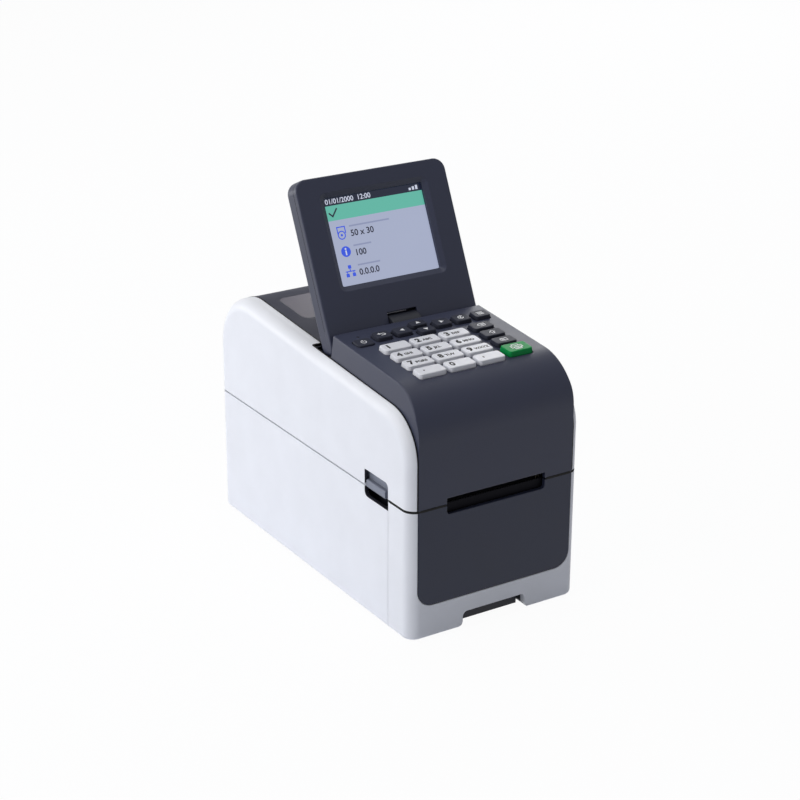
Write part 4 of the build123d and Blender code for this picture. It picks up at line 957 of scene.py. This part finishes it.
class PRINTER_OT_screen(bpy.types.Operator):
    """Light the display with a plain status picture"""

    bl_idname = "printer.screen"
    bl_label = "Screen picture"

    def execute(self, context):
        tints = context.scene.screen_colours
        dress(lit("lcd_ground", tints.bar), "lcd_panel")
        self.middle = outer_face("lcd_panel", SCREEN_NORMAL)[0]
        left, right, top = -LCD_WIDTH / 2, LCD_WIDTH / 2, LCD_HEIGHT / 2
        bar_y = top - BAR_HEIGHT / 2
        band_y = top - BAR_HEIGHT - BAND_HEIGHT / 2
        field = self.layer("screen_field")
        field.box(0, -(BAR_HEIGHT + BAND_HEIGHT) / 2, LCD_WIDTH, LCD_HEIGHT - BAR_HEIGHT - BAND_HEIGHT)
        self.light(field, "lcd_field", tints.field)
        band = self.layer("screen_band")
        band.box(0, band_y, LCD_WIDTH, BAND_HEIGHT)
        self.light(band, "lcd_band", tints.band)
        clock = self.layer("screen_clock")
        clock.figures("01/01/2000  12:00", left + CLOCK_MARGIN, bar_y, CLOCK_SIZE, "LEFT", CLOCK_BOLD)
        for step in range(3):
            short = SIGNAL_STEP * step
            x = right - SIGNAL_MARGIN - SIGNAL_PITCH * step
            clock.box(x, bar_y - short / 2, SIGNAL_WIDTH, SIGNAL_HEIGHT - short)
        self.light(clock, "lcd_clock", tints.clock, SECOND_LAYER)
        digits = self.layer("screen_digits")
        digits.stroke([(left + x, band_y + y) for x, y in TICK], TICK_LINE)
        for row, words in zip(ROWS, FIGURES):
            y = top - row - FIGURE_DROP
            digits.figures(words, left + TEXT_COLUMN, y, FIGURE_SIZE, "LEFT", FIGURE_BOLD)
        self.light(digits, "lcd_digits", tints.digits, SECOND_LAYER)
        captions = self.layer("screen_captions")
        for row, reach in zip(ROWS, CAPTIONS):
            captions.box(left + TEXT_COLUMN + reach / 2, top - row + CAPTION_RISE, reach, CAPTION_LINE)
        self.light(captions, "lcd_captions", tints.faint, SECOND_LAYER)
        self.icons(tints, left + ICON_COLUMN, [top - row for row in ROWS])
        return {"FINISHED"}

    def icons(self, tints, column, rows):
        """A label roll, a note in a disc and a network tree, one to a row."""
        first, second, third = rows
        icons = self.layer("screen_icons")
        roll = (column + ROLL_PLACE[0], first + ROLL_PLACE[1])
        icons.ring(*roll, ROLL_RADIUS, ROLL_LINE)
        icons.disc(*roll, ROLL_CORE)
        icons.stroke([(column + x, first + y) for x, y in ROLL_SHEET], ROLL_LINE)
        icons.disc(column, second, NOTE_RADIUS)
        for x, y, width, height in NET_WIRES:
            icons.box(column + x, third + y, width, height)
        for x, y in NET_BOXES:
            icons.box(column + x, third + y, *NET_BOX)
        self.light(icons, "lcd_icons", tints.icon, SECOND_LAYER)
        note = self.layer("screen_note")
        rise, radius = NOTE_DOT
        note.disc(column, second + rise, radius)
        rise, width, height = NOTE_STEM
        note.box(column, second + rise, width, height)
        self.light(note, "lcd_note", tints.clock, THIRD_LAYER)

    def layer(self, name):
        """Empty layer on the display's glass."""
        return Print(name, self.middle, SCREEN_NORMAL)

    @staticmethod
    def light(shapes, name, tint, thickness=PRINT_THICKNESS):
        """Finish a layer in one lit colour."""
        shapes.finish(lit(name, tint), "display", "screen", thickness)


# Name, power, width and place from the middle of the printer, in metres.
LAMPS = (
    ("key_lamp", "key_power", 0.9, (-1.4, -0.1, 0.7)),
    ("side_lamp", "side_power", 0.8, (-0.9, 1.1, 0.05)),
    ("back_lamp", "back_power", 1.0, (1.2, 1.2, 0.7)),
    ("top_lamp", "top_power", 1.1, (-0.1, 0.1, 1.5)),
)
FLOOR_HALF = 6.0
FLOOR_ROUGHNESS = 0.9
FLOOR_GLOW = 0.96
SKY_GLOSS = 0.7
SENSOR_WIDTH = 36.0


class PRINTER_OT_stage(bpy.types.Operator):
    """Set the floor, the light and the camera"""

    bl_idname = "printer.stage"
    bl_label = "Stage"

    def execute(self, context):
        look = context.scene.printer_stage
        self.floor()
        self.world(look.ambient)
        middle = (cad_low + cad_high) / 2
        for name, power, size, place in LAMPS:
            self.lamp(name, getattr(look, power), size, middle + Vector(place), middle)
        self.camera(context, look)
        context.scene.view_settings.view_transform = "Standard"
        return {"FINISHED"}

    def floor(self):
        """Pale floor that shows as white with the printer's shadow on it."""
        mesh = bmesh.new()
        bmesh.ops.create_grid(mesh, x_segments=1, y_segments=1, size=FLOOR_HALF)
        data = bpy.data.meshes.new("floor")
        mesh.to_mesh(data)
        mesh.free()
        finish = Finish("pale_floor")
        seen = self.seen(finish)
        finish.surface(base_color=rgba(FLOOR_TINT), roughness=FLOOR_ROUGHNESS)
        white = finish.node("ShaderNodeEmission", {}, {"Color": rgba(WHITE), "Strength": 1.0})
        plain = Value(finish, finish.shader.outputs[0])
        mixed = finish.node("ShaderNodeMixShader", {}, {0: seen * FLOOR_GLOW, 1: plain, 2: white})
        finish.connect(finish.tree.nodes["Material Output"].inputs["Surface"], mixed)
        data.materials.append(finish.material)
        ground = bpy.data.objects.new("floor", data)
        bpy.context.scene.collection.objects.link(ground)

    @staticmethod
    def seen(nodes, gloss=1.0):
        """1 for rays that show the background, from the camera or through a window, and less in a gloss."""
        rays = [
            nodes.node("ShaderNodeLightPath", output=ray)
            for ray in ("Is Camera Ray", "Is Glossy Ray", "Is Transmission Ray")
        ]
        return (rays[0] + rays[1] * gloss + rays[2]).cut()

    def world(self, ambient):
        """Even light all round, white where the background is seen."""
        world = bpy.data.worlds.new("studio")
        world.use_nodes = True
        bpy.context.scene.world = world
        sky = Nodes(world.node_tree)
        ground = sky.tree.nodes["Background"]
        ground.inputs["Color"].default_value = rgba(WHITE)
        sky.connect(ground.inputs["Strength"], ambient + self.seen(sky, SKY_GLOSS) * (1 - ambient))

    @staticmethod
    def lamp(name, power, size, place, target):
        """Round soft lamp that faces the target."""
        data = bpy.data.lights.new(name, "AREA")
        data.energy = power
        data.shape = "DISK"
        data.size = size
        lamp = bpy.data.objects.new(name, data)
        lamp.location = place
        lamp.rotation_euler = (target - place).to_track_quat("-Z", "Y").to_euler()
        bpy.context.scene.collection.objects.link(lamp)

    @staticmethod
    def camera(context, look):
        """Camera at the photograph's place and angle."""
        back = Vector(
            (
                sin(look.azimuth) * cos(look.elevation),
                -cos(look.azimuth) * cos(look.elevation),
                sin(look.elevation),
            )
        )
        level = Vector((cos(look.azimuth), sin(look.azimuth), 0))
        rise = back.cross(level)
        right = level * cos(look.roll) + rise * sin(look.roll)
        up = rise * cos(look.roll) - level * sin(look.roll)
        data = bpy.data.cameras.new("photo_camera")
        data.sensor_width = SENSOR_WIDTH
        data.lens = look.lens
        camera = bpy.data.objects.new("photo_camera", data)
        turn = Matrix((right, up, back)).transposed().to_4x4()
        camera.matrix_world = Matrix.Translation(look.camera_place) @ turn
        context.scene.collection.objects.link(camera)
        context.scene.camera = camera


class PRINTER_PT_dress(bpy.types.Panel):
    """Buttons and colours of the printer"""

    bl_label = "Label Printer"
    bl_idname = "PRINTER_PT_dress"
    bl_space_type = "VIEW_3D"
    bl_region_type = "UI"
    bl_category = "Printer"

    def draw(self, context):
        for step in STEPS:
            self.layout.operator(step.bl_idname)
        for group_name in GROUPS:
            group = getattr(context.scene, group_name)
            for name in group.__annotations__:
                self.layout.prop(group, name)


GROUPS = {
    "printer_colours": PrinterColours,
    "screen_colours": ScreenColours,
    "printer_stage": PrinterStage,
}
STEPS = (PRINTER_OT_shell, PRINTER_OT_mechanism, PRINTER_OT_keys, PRINTER_OT_screen, PRINTER_OT_stage)


def register():
    for item in (*GROUPS.values(), *STEPS, PRINTER_PT_dress):
        bpy.utils.register_class(item)
    for name, group in GROUPS.items():
        setattr(bpy.types.Scene, name, PointerProperty(type=group))


def unregister():
    for name in GROUPS:
        delattr(bpy.types.Scene, name)
    for item in (PRINTER_PT_dress, *reversed(STEPS), *GROUPS.values()):
        bpy.utils.unregister_class(item)


def main():
    register()
    bpy.ops.printer.shell()
    bpy.ops.printer.mechanism()
    bpy.ops.printer.keys()
    bpy.ops.printer.screen()
    bpy.ops.printer.stage()


if __name__ == "__main__":
    main()
